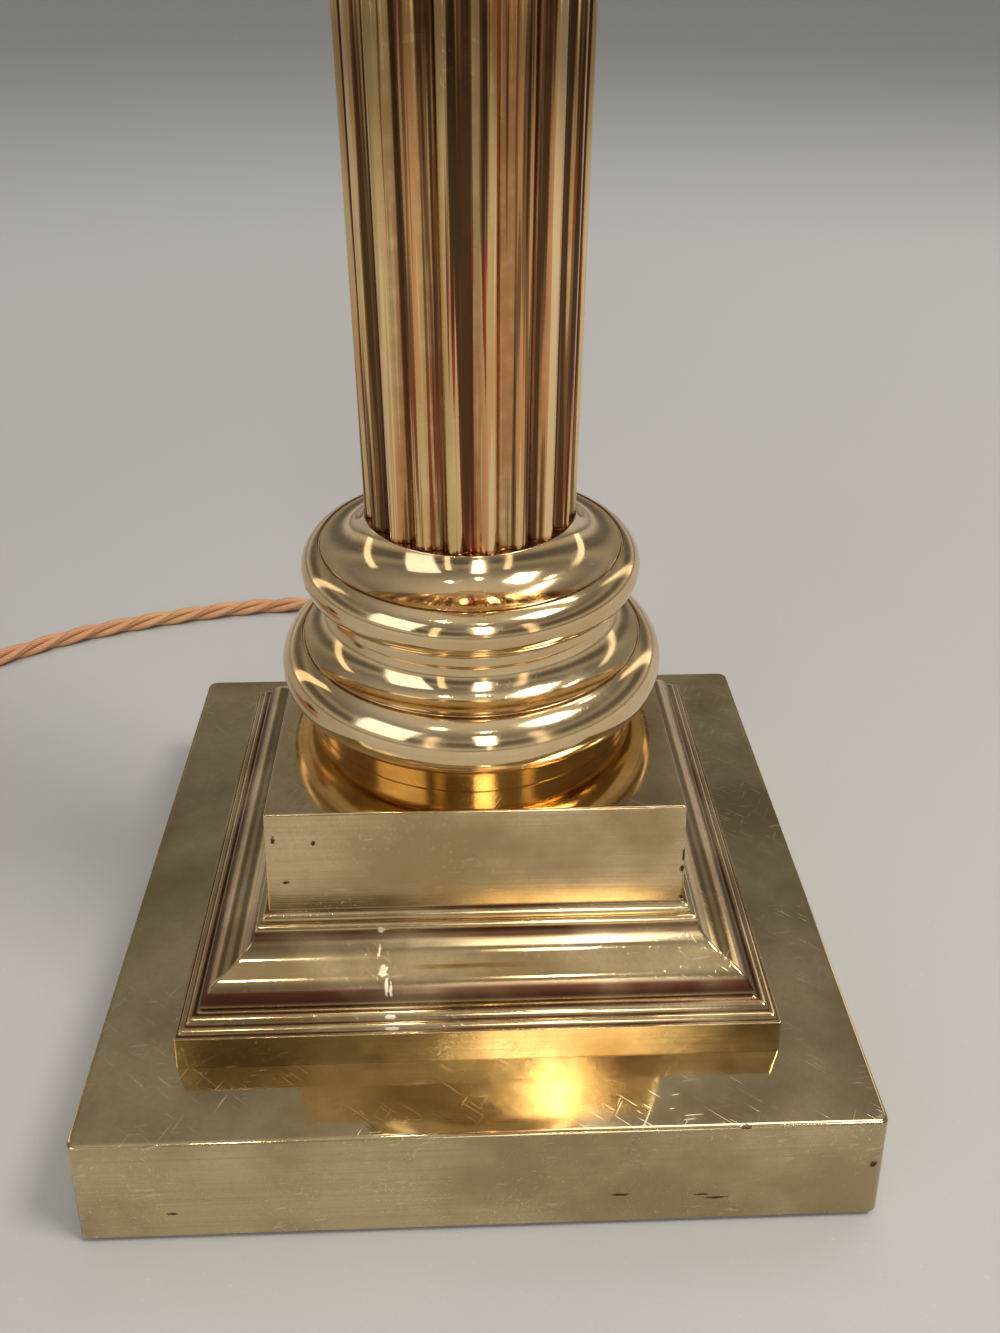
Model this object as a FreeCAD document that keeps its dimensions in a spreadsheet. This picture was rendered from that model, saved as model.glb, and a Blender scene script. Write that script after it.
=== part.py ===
import FreeCAD, Part
import math
import os

import Sketcher
from FreeCAD import Placement, Rotation, Vector

# A brass column table lamp: a stepped square base, a turned base ring, a fluted tube,
# a leafed capital, a bayonet lampholder with a push bar switch, and a twisted flex with its plug.
# The origin is the centre of the base on the table, +Z is up and the front faces -Y.

DRIVING_SIZES = [
    # square base
    ("felt_thick", 1.5, "felt under the base"),
    ("felt_inset", 2.0, "felt edge inside the slab's edge"),
    ("slab_half", 92.0, "half the slab's width at its top"),
    ("slab_flare", 2.1, "how far the slab's foot stands out"),
    ("slab_height", 31.3, "slab's height over the felt"),
    ("slab_wall", 7.5, "slab's side wall"),
    ("slab_roof", 5.0, "slab's top wall"),
    ("slab_corner", 2.2, "rounding of the slab's upright edges"),
    ("slab_edge", 0.9, "rounding of the slab's top edge"),
    ("plate_thick", 1.6, "steel plate that closes the slab"),
    ("plate_ledge", 3.5, "ledge that the plate sits on"),
    ("plate_gap", 0.4, "gap round the plate"),
    ("boss_r", 5.0, "screw bosses inside the slab"),
    ("screw_r", 1.6, "plate screw's shank"),
    ("screw_head_r", 3.1, "plate screw's head"),
    ("screw_length", 10.0, "plate screw's length under the plate"),
    ("fit_gap", 0.2, "clearance of plain holes and spigots"),
    ("thread_gap", 0.05, "clearance of what is screwed or pressed in"),
    ("seat_gap", 0.3, "gap between a moving piece and its seat"),
    # stepped plinth
    ("fillet_stand", 6.1, "how far the plinth's foot fillet stands out past the ogee"),
    ("fillet_draft", 0.6, "draft of the foot fillet"),
    ("fillet_height", 9.3, "height of the foot fillet"),
    ("bead_section", 1.3, "small beads over the foot fillet and over the ogee"),
    ("ogee_foot_half", 65.5, "half width at the ogee's foot"),
    ("ogee_foot_rise", 4.0, "ogee's foot over the foot fillet"),
    ("ogee_run", 12.5, "how far the ogee draws in"),
    ("ogee_rise", 11.25, "ogee's height"),
    ("roll_section", 1.6, "roll under the die"),
    ("die_half", 49.75, "half the die's width at its foot"),
    ("die_draft", 1.55, "draft of the die's sides"),
    ("die_height", 28.5, "height of the die"),
    ("die_edge", 0.6, "rounding of the die's top edge"),
    ("cast_wall", 6.0, "wall of the hollow plinth"),
    # turned column base
    ("ring_r", 41.4, "seat ring's outside radius"),
    ("ring_wall", 16.0, "seat ring's wall"),
    ("ring_height", 6.1, "seat ring's height"),
    ("low_torus_r", 39.8, "lower torus: radius of its section's centre"),
    ("low_torus_section", 7.9, "lower torus: radius of its section"),
    ("groove_width", 0.7, "incised lines over the two tori"),
    ("groove_depth", 0.6, "depth of the incised lines"),
    ("neck_r", 33.9, "scotia's smallest radius"),
    ("scotia_low_rise", 7.3, "scotia's long lower curve"),
    ("scotia_up_rise", 2.6, "scotia's short upper curve"),
    ("scotia_lip", 36.2, "scotia's upper lip radius"),
    ("line_fillet_r", 36.9, "thin fillet over the scotia"),
    ("line_fillet_height", 2.3, "height of the thin fillet"),
    ("up_torus_r", 35.0, "upper torus: radius of its section's centre"),
    ("up_torus_section", 5.9, "upper torus: radius of its section"),
    ("flare_top_r", 26.3, "radius where the flared top meets the tube"),
    ("flare_rise", 7.2, "height of the flared top"),
    ("base_bore_r", 16.0, "bore of the turned base"),
    ("spigot_height", 9.0, "spigots inside the tube's ends"),
    # fluted tube
    ("shaft_r", 25.0, "tube's radius over the ridges"),
    ("flute_depth", 1.75, "depth of a flute"),
    ("ridge_r", 2.2, "rounding of a ridge"),
    ("tube_wall", 1.3, "wall of the fluted tube"),
    ("shaft_length", 262.0, "length of the fluted tube"),
    # capital
    ("astragal_section", 2.3, "half round under the leaves"),
    ("bell_foot_r", 22.6, "bell's radius at its foot"),
    ("bell_waist_r", 23.4, "bell's radius at mid height"),
    ("bell_lip_r", 29.0, "bell's radius at its lip"),
    ("bell_height", 50.0, "height of the bell"),
    ("bell_bore_r", 15.0, "bore of the bell"),
    ("leaf_thick", 1.3, "thickness of a leaf"),
    ("low_leaf_height", 23.0, "height of the lower leaves"),
    ("low_leaf_width", 16.6, "width of the lower leaves"),
    ("up_leaf_foot", 17.0, "foot of the upper leaves over the bell's foot"),
    ("up_leaf_height", 22.0, "height of the upper leaves"),
    ("up_leaf_width", 14.0, "width of the upper leaves"),
    ("scroll_r", 6.2, "outside radius of a corner scroll"),
    ("scroll_band", 1.9, "width of the scroll's band"),
    ("scroll_thick", 4.4, "thickness of a corner scroll"),
    ("abacus_reach", 43.0, "corner of the abacus from the axis"),
    ("abacus_horn", 3.2, "half the cut corner of the abacus"),
    ("abacus_waist", 25.5, "middle of the hollow side from the axis"),
    ("abacus_step", 1.5, "how far the lower tier stands in"),
    ("abacus_low", 3.0, "height of the lower tier"),
    ("abacus_up", 4.0, "height of the upper tier"),
    ("flower_r", 5.0, "flower on each side of the abacus"),
    # top cap, rod and nuts
    ("cap_r", 19.0, "turned cap's foot radius"),
    ("cap_neck_r", 8.5, "turned cap's neck radius"),
    ("cap_height", 13.0, "turned cap's height"),
    ("rod_r", 5.0, "threaded rod's radius"),
    ("rod_bore_r", 4.0, "threaded rod's bore"),
    ("rod_hole_gap", 0.25, "clearance of the holes for the rod"),
    ("washer_thick", 1.5, "washer under the slab's roof"),
    ("washer_r", 12.0, "washer's radius"),
    ("nut_half", 7.0, "rod nut's half width over flats"),
    ("nut_thick", 3.0, "rod nut's thickness"),
    ("rod_tail", 1.2, "rod's end below its nut"),
    ("rod_entry", 9.0, "rod's length inside the lampholder"),
    # lampholder
    ("socket_r", 11.2, "bore that takes the lamp's cap"),
    ("seat_bore_r", 11.6, "wider bore round the insulator"),
    ("bore_gap", 1.0, "room between the contacts and the lamp's bore"),
    ("barrel_r", 14.2, "outside radius of the barrel, where a shade sits"),
    ("barrel_step", 0.4, "how much thicker the barrel's foot is"),
    ("barrel_height", 27.0, "barrel's height over its flange"),
    ("barrel_flange", 1.5, "barrel's flange"),
    ("holder_r", 16.4, "outside radius of the holder's cap"),
    ("holder_wall", 1.3, "wall of the holder's cap"),
    ("holder_neck_r", 7.6, "holder cap's neck"),
    ("holder_neck", 7.0, "height of the neck"),
    ("holder_dome", 8.0, "height of the dome"),
    ("holder_skirt", 14.0, "height of the straight part"),
    ("union_r", 18.0, "union ring's outside radius"),
    ("union_height", 7.6, "union ring's height"),
    ("union_lip", 1.2, "union ring's lip over the barrel's flange"),
    ("slot_width", 2.6, "bayonet slot's width"),
    ("slot_depth", 8.0, "bayonet slot's depth"),
    ("slot_turn", 22.0, "angle that the slot turns"),
    ("slot_catch", 1.2, "catch at the slot's end"),
    ("insulator_height", 13.0, "insulator's height"),
    ("insulator_sink", 5.0, "insulator's part inside the barrel"),
    ("contact_pitch", 9.2, "distance between the two contacts"),
    ("contact_r", 2.3, "contact plunger's radius"),
    ("contact_gap", 0.05, "running clearance of the plungers"),
    ("contact_travel", 3.0, "how far a plunger can be pressed"),
    ("contact_length", 8.0, "plunger's length"),
    ("spring_length", 4.5, "spring under a plunger"),
    ("spring_wire", 0.5, "thickness of the spring's wire"),
    ("shade_ring_r", 17.6, "shade ring's outside radius"),
    ("shade_ring_height", 5.0, "shade ring's height"),
    ("shade_ring_gap", 0.08, "running clearance of the shade ring"),
    ("bar_r", 1.7, "switch bar's radius"),
    ("bar_reach", 22.5, "end of the bar's button from the axis"),
    ("bar_offset", 7.6, "bar in front of the axis"),
    ("bar_gap", 0.08, "running clearance of the bar"),
    ("bar_clear", 1.0, "room between the bar and the insulator"),
    ("button_r", 3.4, "button on the bar's end"),
    ("button_length", 3.0, "length of a button"),
    # flex and plug
    ("flex_r", 3.2, "radius over the three twisted cores"),
    ("flex_axis", 12.0, "height of the flex where it leaves the slab"),
    ("bush_r", 5.2, "bush in the slab's rear wall"),
    ("bush_flange_r", 7.6, "bush's flange"),
    ("relief_length", 22.0, "tapered sleeve behind the slab"),
    ("relief_tip_r", 4.0, "sleeve's radius at its tip"),
    ("grip_bar", 1.8, "bar that holds the flex inside the slab"),
    ("grip_inset", 34.0, "flex grip in front of the slab's rear edge"),
    ("coil_r", 45.0, "outer turn of the coil"),
    ("coil_gap", 0.6, "gap between the coil's turns"),
    ("plug_length", 50.0, "plug's length"),
    ("plug_half", 25.0, "half the plug's width"),
    ("plug_base", 11.0, "depth of the plug's base"),
    ("plug_cover", 10.6, "depth of the plug's cover"),
    ("pin_thick", 4.0, "pins' thickness"),
    ("live_width", 6.35, "live and neutral pins' width"),
    ("live_length", 17.7, "live and neutral pins' length"),
    ("live_place", 14.0, "live and neutral pins from the cord's end"),
    ("live_pitch", 22.2, "distance between live and neutral"),
    ("earth_width", 8.0, "earth pin's width"),
    ("earth_length", 22.7, "earth pin's length"),
    ("earth_place", 22.2, "earth pin from the line of the other two"),
]

FLUTES = 20
LEAVES = 8
PETALS = 5
QUARTER = math.tan(math.radians(22.5))     # bulge of a quarter circle
HALF = 1.0                                 # bulge of a half circle

# Points that the free flex follows on the table, from the sleeve to the coil (x, y, height of its axis).
# The first height is the sleeve's, and the last ones lie on the table.
FLEX_ROUTE = [
    (0, 118, 12.0), (0, 141, 9.6), (-6, 163, 5.4), (-21, 182, 3.2), (-45, 194, 3.2), (-72, 198.5, 3.2),
    (-97, 196.5, 3.2), (-119, 191.5, 3.2), (-140, 185.5, 3.2), (-159, 178.5, 3.2), (-177.5, 169.5, 3.2),
    (-197, 155.5, 3.2), (-222, 136, 3.2), (-246, 112, 3.2), (-264, 84, 3.2),
]
TAIL_RUN = 12.0                            # runs of the short piece from the coil to the plug
TAIL_TURN = -12.0                          # turn at each of its points, degrees


class Size:
    """A size with its value in mm and the expression that binds it to the sheet."""

    def __init__(self, value, text):
        self.value = float(value)
        self.text = text

    def _join(self, other, sign, value):
        return Size(value, "(%s %s %s)" % (self.text, sign, as_size(other).text))

    def __add__(self, other):
        return self._join(other, "+", self.value + as_size(other).value)

    def __radd__(self, other):
        return as_size(other) + self

    def __sub__(self, other):
        return self._join(other, "-", self.value - as_size(other).value)

    def __rsub__(self, other):
        return as_size(other) - self

    def __mul__(self, other):
        return self._join(other, "*", self.value * as_size(other).value)

    def __rmul__(self, other):
        return as_size(other) * self

    def __truediv__(self, other):
        return self._join(other, "/", self.value / as_size(other).value)

    def __neg__(self):
        return self * -1


def as_size(number):
    """A plain number as a size, so that both can stand in one sum."""
    return number if isinstance(number, Size) else Size(number, repr(float(number)))


class Sheet:
    """The driving sizes, by name."""

    def __init__(self, doc, rows):
        cells = doc.addObject("Spreadsheet::Sheet", "Sizes")
        for row, (name, value, meaning) in enumerate(rows, start=1):
            cells.set("A%d" % row, meaning)
            cells.set("B%d" % row, str(value))
            cells.setAlias("B%d" % row, name)
        doc.recompute()
        for name, value, meaning in rows:
            setattr(self, name, Size(getattr(cells, name), "Sizes." + name))


doc = FreeCAD.newDocument("ColumnLamp")
S = Sheet(doc, DRIVING_SIZES)

# Heights of the stacked pieces, each worked out from the pieces under it.
SLAB_TOP = S.felt_thick + S.slab_height
OGEE_TOP = S.fillet_height + S.ogee_foot_rise + S.ogee_rise
FILLET_HALF = S.ogee_foot_half + S.fillet_stand
TOP_BEAD = 1.2 * S.bead_section                         # height of the thin bead over the ogee
PLINTH_DIE = OGEE_TOP + TOP_BEAD + 1.36 * S.roll_section
PLINTH_HEIGHT = PLINTH_DIE + S.die_height
RING_FOOT = SLAB_TOP + PLINTH_HEIGHT
BASE_FOOT = RING_FOOT + S.ring_height
BASE_GROOVE = S.low_torus_section * (1 + math.sin(math.radians(80)))
BASE_FILLET = BASE_GROOVE + S.scotia_low_rise + S.scotia_up_rise
BASE_UPPER = BASE_FILLET + S.line_fillet_height
BASE_HEIGHT = BASE_UPPER + S.up_torus_section * (1 + math.sin(math.radians(84))) + S.flare_rise
SHAFT_FOOT = BASE_FOOT + BASE_HEIGHT
CAPITAL_FOOT = SHAFT_FOOT + S.shaft_length
LEAF_RISE = 2 * S.astragal_section + 0.4
ABACUS_FOOT = CAPITAL_FOOT + S.bell_height
CAP_FOOT = ABACUS_FOOT + S.abacus_low + S.abacus_up
HOLDER_FOOT = CAP_FOOT + S.cap_height
ROD_HOLE = S.rod_r + S.rod_hole_gap
SPIGOT_R = S.shaft_r - S.flute_depth - S.tube_wall - S.fit_gap
BARREL_FOOT = HOLDER_FOOT + S.holder_neck + S.holder_dome + S.holder_skirt
SLAB_BACK = S.slab_half + S.slab_flare * (1 - (S.flex_axis - S.felt_thick) / S.slab_height)

parts = []


def keep(thing, label):
    """Name a finished piece; its label becomes the name of its file."""
    thing.Label = label
    parts.append(thing)
    return thing


def lift(thing, height):
    """Stand a piece at a height that follows the sheet."""
    thing.setExpression("Placement.Base.z", height.text)
    return thing


def new_body(label):
    return doc.addObject("PartDesign::Body", label + "_body")


def plane(body, role):
    return next(part for part in body.Origin.OriginFeatures if part.Role == role)


def new_sketch(body, role, name):
    sketch = body.newObject("Sketcher::SketchObject", name)
    sketch.AttachmentSupport = [(plane(body, role), "")]
    sketch.MapMode = "FlatFace"
    return sketch


def arc_between(start, end, bulge):
    """The circle arc from start to end that turns by four times the angle whose tangent is bulge."""
    chord = end - start
    radius = chord.Length * (1 + bulge ** 2) / (4 * abs(bulge))
    middle = (start + end) * 0.5
    side = Vector(-chord.y, chord.x, 0)
    centre = middle + side * ((1 - bulge ** 2) / (4 * bulge))
    first, last = (start, end) if bulge > 0 else (end, start)
    angles = [math.atan2(point.y - centre.y, point.x - centre.x) for point in (first, last)]
    return Part.ArcOfCircle(Part.Circle(centre, Vector(0, 0, 1), radius), angles[0], angles[1])


def draw(sketch, *outlines):
    """Draw closed outlines. A corner is (u, v) or (u, v, bulge), the bulge being that of the edge
    that leaves it: 0 is straight, positive turns left. Each corner is tied to the sheet."""
    for outline in outlines:
        corners = [(as_size(c[0]), as_size(c[1]), c[2] if len(c) > 2 else 0.0) for c in outline]
        points = [Vector(u.value, v.value, 0) for u, v, bulge in corners]
        first = len(sketch.Geometry)
        count = len(corners)
        edges, rules, ties = [], [], []
        for index, (u, v, bulge) in enumerate(corners):
            start, end = points[index], points[(index + 1) % count]
            edges.append(arc_between(start, end, bulge) if bulge else Part.LineSegment(start, end))
        sketch.addGeometry(edges, False)
        for index, (u, v, bulge) in enumerate(corners):
            edge, after = first + index, first + (index + 1) % count
            leaves = 2 if bulge < 0 else 1
            next_bulge = corners[(index + 1) % count][2]
            meets = 2 if next_bulge < 0 else 1
            rules.append(Sketcher.Constraint("Coincident", edge, 3 - leaves, after, meets))
            for kind, size in (("DistanceX", u), ("DistanceY", v)):
                rules.append(Sketcher.Constraint(kind, edge, leaves, size.value))
                ties.append((len(rules) - 1, size.text))
            if bulge:
                next_u, next_v = corners[(index + 1) % count][:2]
                share = (1 + bulge ** 2) / (4 * abs(bulge))
                if abs(bulge) == HALF:              # a half circle is set by its centre
                    rules.append(Sketcher.Constraint("DistanceX", edge, 3, edges[index].Center.x))
                    ties.append((len(rules) - 1, "(%s + %s) / 2" % (next_u.text, u.text)))
                else:
                    rules.append(Sketcher.Constraint("Radius", edge, edges[index].Radius))
                    ties.append((len(rules) - 1, "sqrt((%s - %s)^2 + (%s - %s)^2) * %r"
                                 % (next_u.text, u.text, next_v.text, v.text, share)))
        offset = len(sketch.Constraints)
        sketch.addConstraint(rules)
        for number, text in ties:
            if "Sizes." in text:
                sketch.setExpression("Constraints[%d]" % (offset + number), text)
    return sketch


def draw_circles(sketch, *circles):
    """Draw circles given as (u, v, radius), tied to the sheet."""
    for u, v, radius in circles:
        u, v, radius = as_size(u), as_size(v), as_size(radius)
        circle = Part.Circle(Vector(u.value, v.value, 0), Vector(0, 0, 1), radius.value)
        index = sketch.addGeometry(circle, False)
        for rule, size in ((Sketcher.Constraint("DistanceX", index, 3, u.value), u),
                           (Sketcher.Constraint("DistanceY", index, 3, v.value), v),
                           (Sketcher.Constraint("Radius", index, radius.value), radius)):
            number = sketch.addConstraint(rule)
            if "Sizes." in size.text:
                sketch.setExpression("Constraints[%d]" % number, size.text)
    return sketch


def square(half):
    """Corners of a square about the origin."""
    return [(-half, -half), (half, -half), (half, half), (-half, half)]


def feature(body, kind, name, profile, **settings):
    made = body.newObject("PartDesign::" + kind, name)
    made.Profile = profile
    for key, value in settings.items():
        if isinstance(value, Size):
            made.setExpression(key, value.text)
        else:
            setattr(made, key, value)
    profile.Visibility = False
    return made


def turned(label, outline, height):
    """A turned piece: a half outline (radius, height) spun about the vertical axis."""
    body = new_body(label)
    profile = draw(new_sketch(body, "XZ_Plane", label + "_profile"), outline)
    feature(body, "Revolution", label + "_turned", profile, ReferenceAxis=(profile, ["V_Axis"]), Angle=360)
    lift(body, height)
    return keep(body, label)


def bored(body, name, outlines=(), circles=(), role="XY_Plane", **settings):
    """Cut a body, and make sure that the cut took something away."""
    doc.recompute()
    before = body.Shape.Volume
    profile = new_sketch(body, role, name + "_outline")
    draw(profile, *outlines)
    draw_circles(profile, *circles)
    feature(body, "Pocket", name, profile, **settings)
    doc.recompute()
    if body.Shape.Volume >= before:
        raise ValueError(name + " cut nothing")


def edges_where(shape, test):
    """Names of the edges whose middle and ends pass the test."""
    return ["Edge%d" % number for number, edge in enumerate(shape.Edges, start=1)
            if test([vertex.Point for vertex in edge.Vertexes])]


def rounded(body, name, test, radius):
    """Round the edges of a body's last feature that pass the test."""
    doc.recompute()
    base = body.Tip
    made = body.newObject("PartDesign::Fillet", name)
    made.Base = (base, edges_where(base.Shape, test))
    made.setExpression("Radius", radius.text)


# ---------------------------------------------------------------- square base

def felt_pad():
    body = new_body("felt_pad")
    profile = draw(new_sketch(body, "XY_Plane", "felt_outline"),
                   square(S.slab_half + S.slab_flare - S.felt_inset))
    feature(body, "Pad", "felt_sheet", profile, Length=S.felt_thick)
    keep(body, "felt_pad")


PLATE_HALF = S.slab_half - S.slab_wall + S.plate_ledge
BOSS_PLACE = S.slab_half - S.slab_wall - 0.6 * S.boss_r   # part way into the walls' corner


def corner_circles(place, radius):
    return [(x * place, y * place, radius) for x in (-1, 1) for y in (-1, 1)]


def base_plate():
    body = new_body("base_plate")
    profile = draw(new_sketch(body, "XY_Plane", "plate_outline"), square(PLATE_HALF - S.plate_gap))
    draw_circles(profile, *corner_circles(BOSS_PLACE, S.screw_r + S.fit_gap))
    feature(body, "Pad", "plate_sheet", profile, Length=S.plate_thick)
    lift(body, S.felt_thick)
    keep(body, "base_plate")


def base_slab():
    """A drafted casting, open below, with a ledge for the plate, four bosses and a flex saddle."""
    body = new_body("base_slab")
    foot = S.slab_half + S.slab_flare
    outline = [(-foot, 0), (foot, 0), (S.slab_half, S.slab_height), (-S.slab_half, S.slab_height)]
    front = draw(new_sketch(body, "XZ_Plane", "slab_front"), outline)
    feature(body, "Pad", "slab_block", front, Length=2 * foot, SideType="Symmetric")
    outside = foot + S.slab_flare
    bored(body, "slab_sides", role="YZ_Plane", Length=4 * foot, SideType="Symmetric", outlines=[
        [(foot, 0), (outside, 0), (outside, S.slab_height), (S.slab_half, S.slab_height)],
        [(-foot, 0), (-S.slab_half, S.slab_height), (-outside, S.slab_height), (-outside, 0)]])
    rounded(body, "slab_corners", lambda ends: abs(ends[0].z - ends[-1].z) > S.slab_height.value / 2,
            S.slab_corner)
    rounded(body, "slab_rim", lambda ends: min(end.z for end in ends) > S.slab_height.value - 0.01,
            S.slab_edge)
    cavity = S.slab_height - S.slab_roof
    bored(body, "slab_cavity", outlines=[square(S.slab_half - S.slab_wall)], Length=cavity, Reversed=True)
    bored(body, "plate_seat", outlines=[square(PLATE_HALF)], Length=S.plate_thick, Reversed=True)
    bosses = draw_circles(new_sketch(body, "XY_Plane", "boss_outline"), *corner_circles(BOSS_PLACE, S.boss_r))
    bosses.AttachmentOffset = Placement(Vector(0, 0, S.plate_thick.value), Rotation())
    bosses.setExpression("AttachmentOffset.Base.z", S.plate_thick.text)
    feature(body, "Pad", "bosses", bosses, Length=cavity + S.slab_roof / 2 - S.plate_thick)
    saddle = new_sketch(body, "XY_Plane", "saddle_outline")
    saddle.AttachmentOffset = Placement(Vector(0, 0, SADDLE_FOOT.value), Rotation())
    saddle.setExpression("AttachmentOffset.Base.z", SADDLE_FOOT.text)
    draw(saddle, [(-GRIP_HALF, GRIP_PLACE - GRIP_DEPTH), (GRIP_HALF, GRIP_PLACE - GRIP_DEPTH),
                  (GRIP_HALF, GRIP_PLACE + GRIP_DEPTH), (-GRIP_HALF, GRIP_PLACE + GRIP_DEPTH)])
    feature(body, "Pad", "flex_saddle", saddle, Length=cavity + S.slab_roof / 2 - SADDLE_FOOT)
    bored(body, "boss_holes", circles=corner_circles(BOSS_PLACE, S.screw_r), Reversed=True,
          Length=S.plate_thick + S.screw_length)
    bored(body, "grip_holes", Reversed=True, Length=SADDLE_FOOT + GRIP_BITE,
          circles=[(side * GRIP_SCREW, GRIP_PLACE, S.screw_r) for side in (-1, 1)])
    bored(body, "rod_hole", circles=[(0, 0, ROD_HOLE)], Type="ThroughAll", Reversed=True)
    bored(body, "flex_hole", role="XZ_Plane", circles=[(0, S.flex_axis - S.felt_thick, S.bush_r)],
          Length=2 * foot, Reversed=False)
    lift(body, S.felt_thick)
    keep(body, "base_slab")


SADDLE_FOOT = S.flex_axis + S.flex_r - S.felt_thick     # over the slab's foot
GRIP_PLACE = S.slab_half - S.grip_inset
GRIP_HALF = 4 * S.flex_r
GRIP_DEPTH = 1.2 * S.flex_r
GRIP_SCREW = 2.6 * S.flex_r
GRIP_BITE = 2 * S.flex_r
SCREW_HEAD_R = 1.8 * S.screw_r
SCREW_HEAD_HEIGHT = 0.8 * S.screw_r


def cylinder(name, radius, height, x=0, y=0, z=0):
    """A Part cylinder, tied to the sheet."""
    made = doc.addObject("Part::Cylinder", name)
    for key, size in (("Radius", radius), ("Height", height), ("Placement.Base.x", x),
                      ("Placement.Base.y", y), ("Placement.Base.z", z)):
        made.setExpression(key, as_size(size).text)
    return made


def cone(name, low, high, height, x=0, y=0, z=0):
    """A Part cone, tied to the sheet."""
    made = doc.addObject("Part::Cone", name)
    for key, size in (("Radius1", low), ("Radius2", high), ("Height", height), ("Placement.Base.x", x),
                      ("Placement.Base.y", y), ("Placement.Base.z", z)):
        made.setExpression(key, as_size(size).text)
    return made


def box(name, low, span):
    """A Part box from its low corner and its three lengths, tied to the sheet."""
    made = doc.addObject("Part::Box", name)
    keys = ("Placement.Base.x", "Placement.Base.y", "Placement.Base.z", "Length", "Width", "Height")
    for key, size in zip(keys, tuple(low) + tuple(span)):
        made.setExpression(key, as_size(size).text)
    return made


def fuse(name, *shapes):
    made = doc.addObject("Part::MultiFuse", name)
    made.Shapes = list(shapes)
    return made


def group(name, *shapes):
    made = doc.addObject("Part::Compound", name)
    made.Links = list(shapes)
    return made


def cut(name, base, tool):
    made = doc.addObject("Part::Cut", name)
    made.Base = base
    made.Tool = tool
    return made


def plate_screws():
    """Four countersunk screws, flush with the plate, one in each corner boss."""
    screws = []
    for index, (x, y, radius) in enumerate(corner_circles(BOSS_PLACE, S.screw_r)):
        screws.append(cylinder("plate_screw_%d" % index, radius - S.thread_gap,
                               S.plate_thick + 0.9 * S.screw_length, x, y, S.felt_thick))
    keep(group("plate_screws_group", *screws), "plate_screws")


def flex_grip():
    """The bar under the flex, with its two screws up into the saddle."""
    foot = S.flex_axis - S.flex_r - S.grip_bar
    bar = box("grip_bar_plate", (-GRIP_HALF, GRIP_PLACE - GRIP_DEPTH, foot),
              (2 * GRIP_HALF, 2 * GRIP_DEPTH, S.grip_bar))
    solids = [bar]
    for side in (-1, 1):
        solids.append(cylinder("grip_screw_%d" % (side + 1), S.screw_r - S.thread_gap,
                               2 * S.flex_r + GRIP_BITE, side * GRIP_SCREW, GRIP_PLACE, foot))
        solids.append(cylinder("grip_head_%d" % (side + 1), SCREW_HEAD_R, SCREW_HEAD_HEIGHT,
                               side * GRIP_SCREW, GRIP_PLACE, foot - SCREW_HEAD_HEIGHT))
    keep(fuse("flex_grip_fuse", *solids), "flex_grip")


# ---------------------------------------------------------------- stepped plinth

def plinth_side():
    """The moulded side of the plinth, from its foot to its top: foot fillet, two beads, ogee, thin bead,
    roll and die."""
    bead = S.bead_section
    level = S.fillet_height
    ogee_z = level + S.ogee_foot_rise
    ogee_top_half = S.ogee_foot_half - S.ogee_run
    roll_half = S.die_half + S.roll_section
    roll_z = OGEE_TOP + TOP_BEAD
    return [
        (FILLET_HALF, 0),
        (FILLET_HALF - S.fillet_draft, level),
        (FILLET_HALF - S.fillet_draft - 0.6 * bead, level, QUARTER),
        (FILLET_HALF - S.fillet_draft - 1.6 * bead, level + bead),
        (FILLET_HALF - S.fillet_draft - 1.9 * bead, level + bead, QUARTER),
        (S.ogee_foot_half + 0.7 * bead, level + 2.3 * bead),
        (S.ogee_foot_half - 0.3 * bead, level + 2.5 * bead),
        (S.ogee_foot_half - 0.3 * bead, ogee_z - 0.4 * bead),
        (S.ogee_foot_half, ogee_z, 0.25),
        (S.ogee_foot_half - 0.5 * S.ogee_run, ogee_z + 0.5 * S.ogee_rise, -0.22),
        (ogee_top_half, OGEE_TOP),
        (ogee_top_half, OGEE_TOP + 0.3 * bead, QUARTER),
        (ogee_top_half - 0.9 * bead, roll_z),
        (roll_half, roll_z),
        (roll_half, roll_z + 0.36 * S.roll_section, QUARTER),
        (S.die_half, PLINTH_DIE),
        (S.die_half - S.die_draft, PLINTH_HEIGHT),
    ]


def plinth():
    """The moulding runs round all four sides with mitred corners: its outline is padded front to back,
    and the same outline then cuts the two sides."""
    body = new_body("plinth")
    side = plinth_side()
    bulges = [corner[2] if len(corner) > 2 else 0.0 for corner in side]
    other = [(-side[i][0], side[i][1], bulges[i - 1] if i else 0.0) for i in reversed(range(len(side)))]
    front = draw(new_sketch(body, "XZ_Plane", "plinth_front"), side + other)
    feature(body, "Pad", "plinth_block", front, Length=2 * FILLET_HALF, SideType="Symmetric")
    outside = FILLET_HALF + S.bead_section
    right = side + [(outside, side[-1][1]), (outside, 0)]
    left = other + [(-outside, 0), (-outside, side[-1][1])]
    bored(body, "plinth_sides", outlines=[right, left], role="YZ_Plane", Length=4 * FILLET_HALF,
          SideType="Symmetric")
    rounded(body, "die_rim", lambda ends: min(end.z for end in ends) > PLINTH_HEIGHT.value - 0.01, S.die_edge)
    bored(body, "plinth_foot_cavity", outlines=[square(S.ogee_foot_half - S.ogee_run - S.cast_wall)],
          Length=PLINTH_DIE - S.ogee_rise, Reversed=True)
    bored(body, "plinth_cavity", outlines=[square(S.die_half - S.die_draft - S.cast_wall)],
          Length=PLINTH_HEIGHT - S.cast_wall, Reversed=True)
    bored(body, "plinth_rod_hole", circles=[(0, 0, ROD_HOLE)], Type="ThroughAll", Reversed=True)
    lift(body, SLAB_TOP)
    keep(body, "plinth")


# ---------------------------------------------------------------- turned column base

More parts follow.
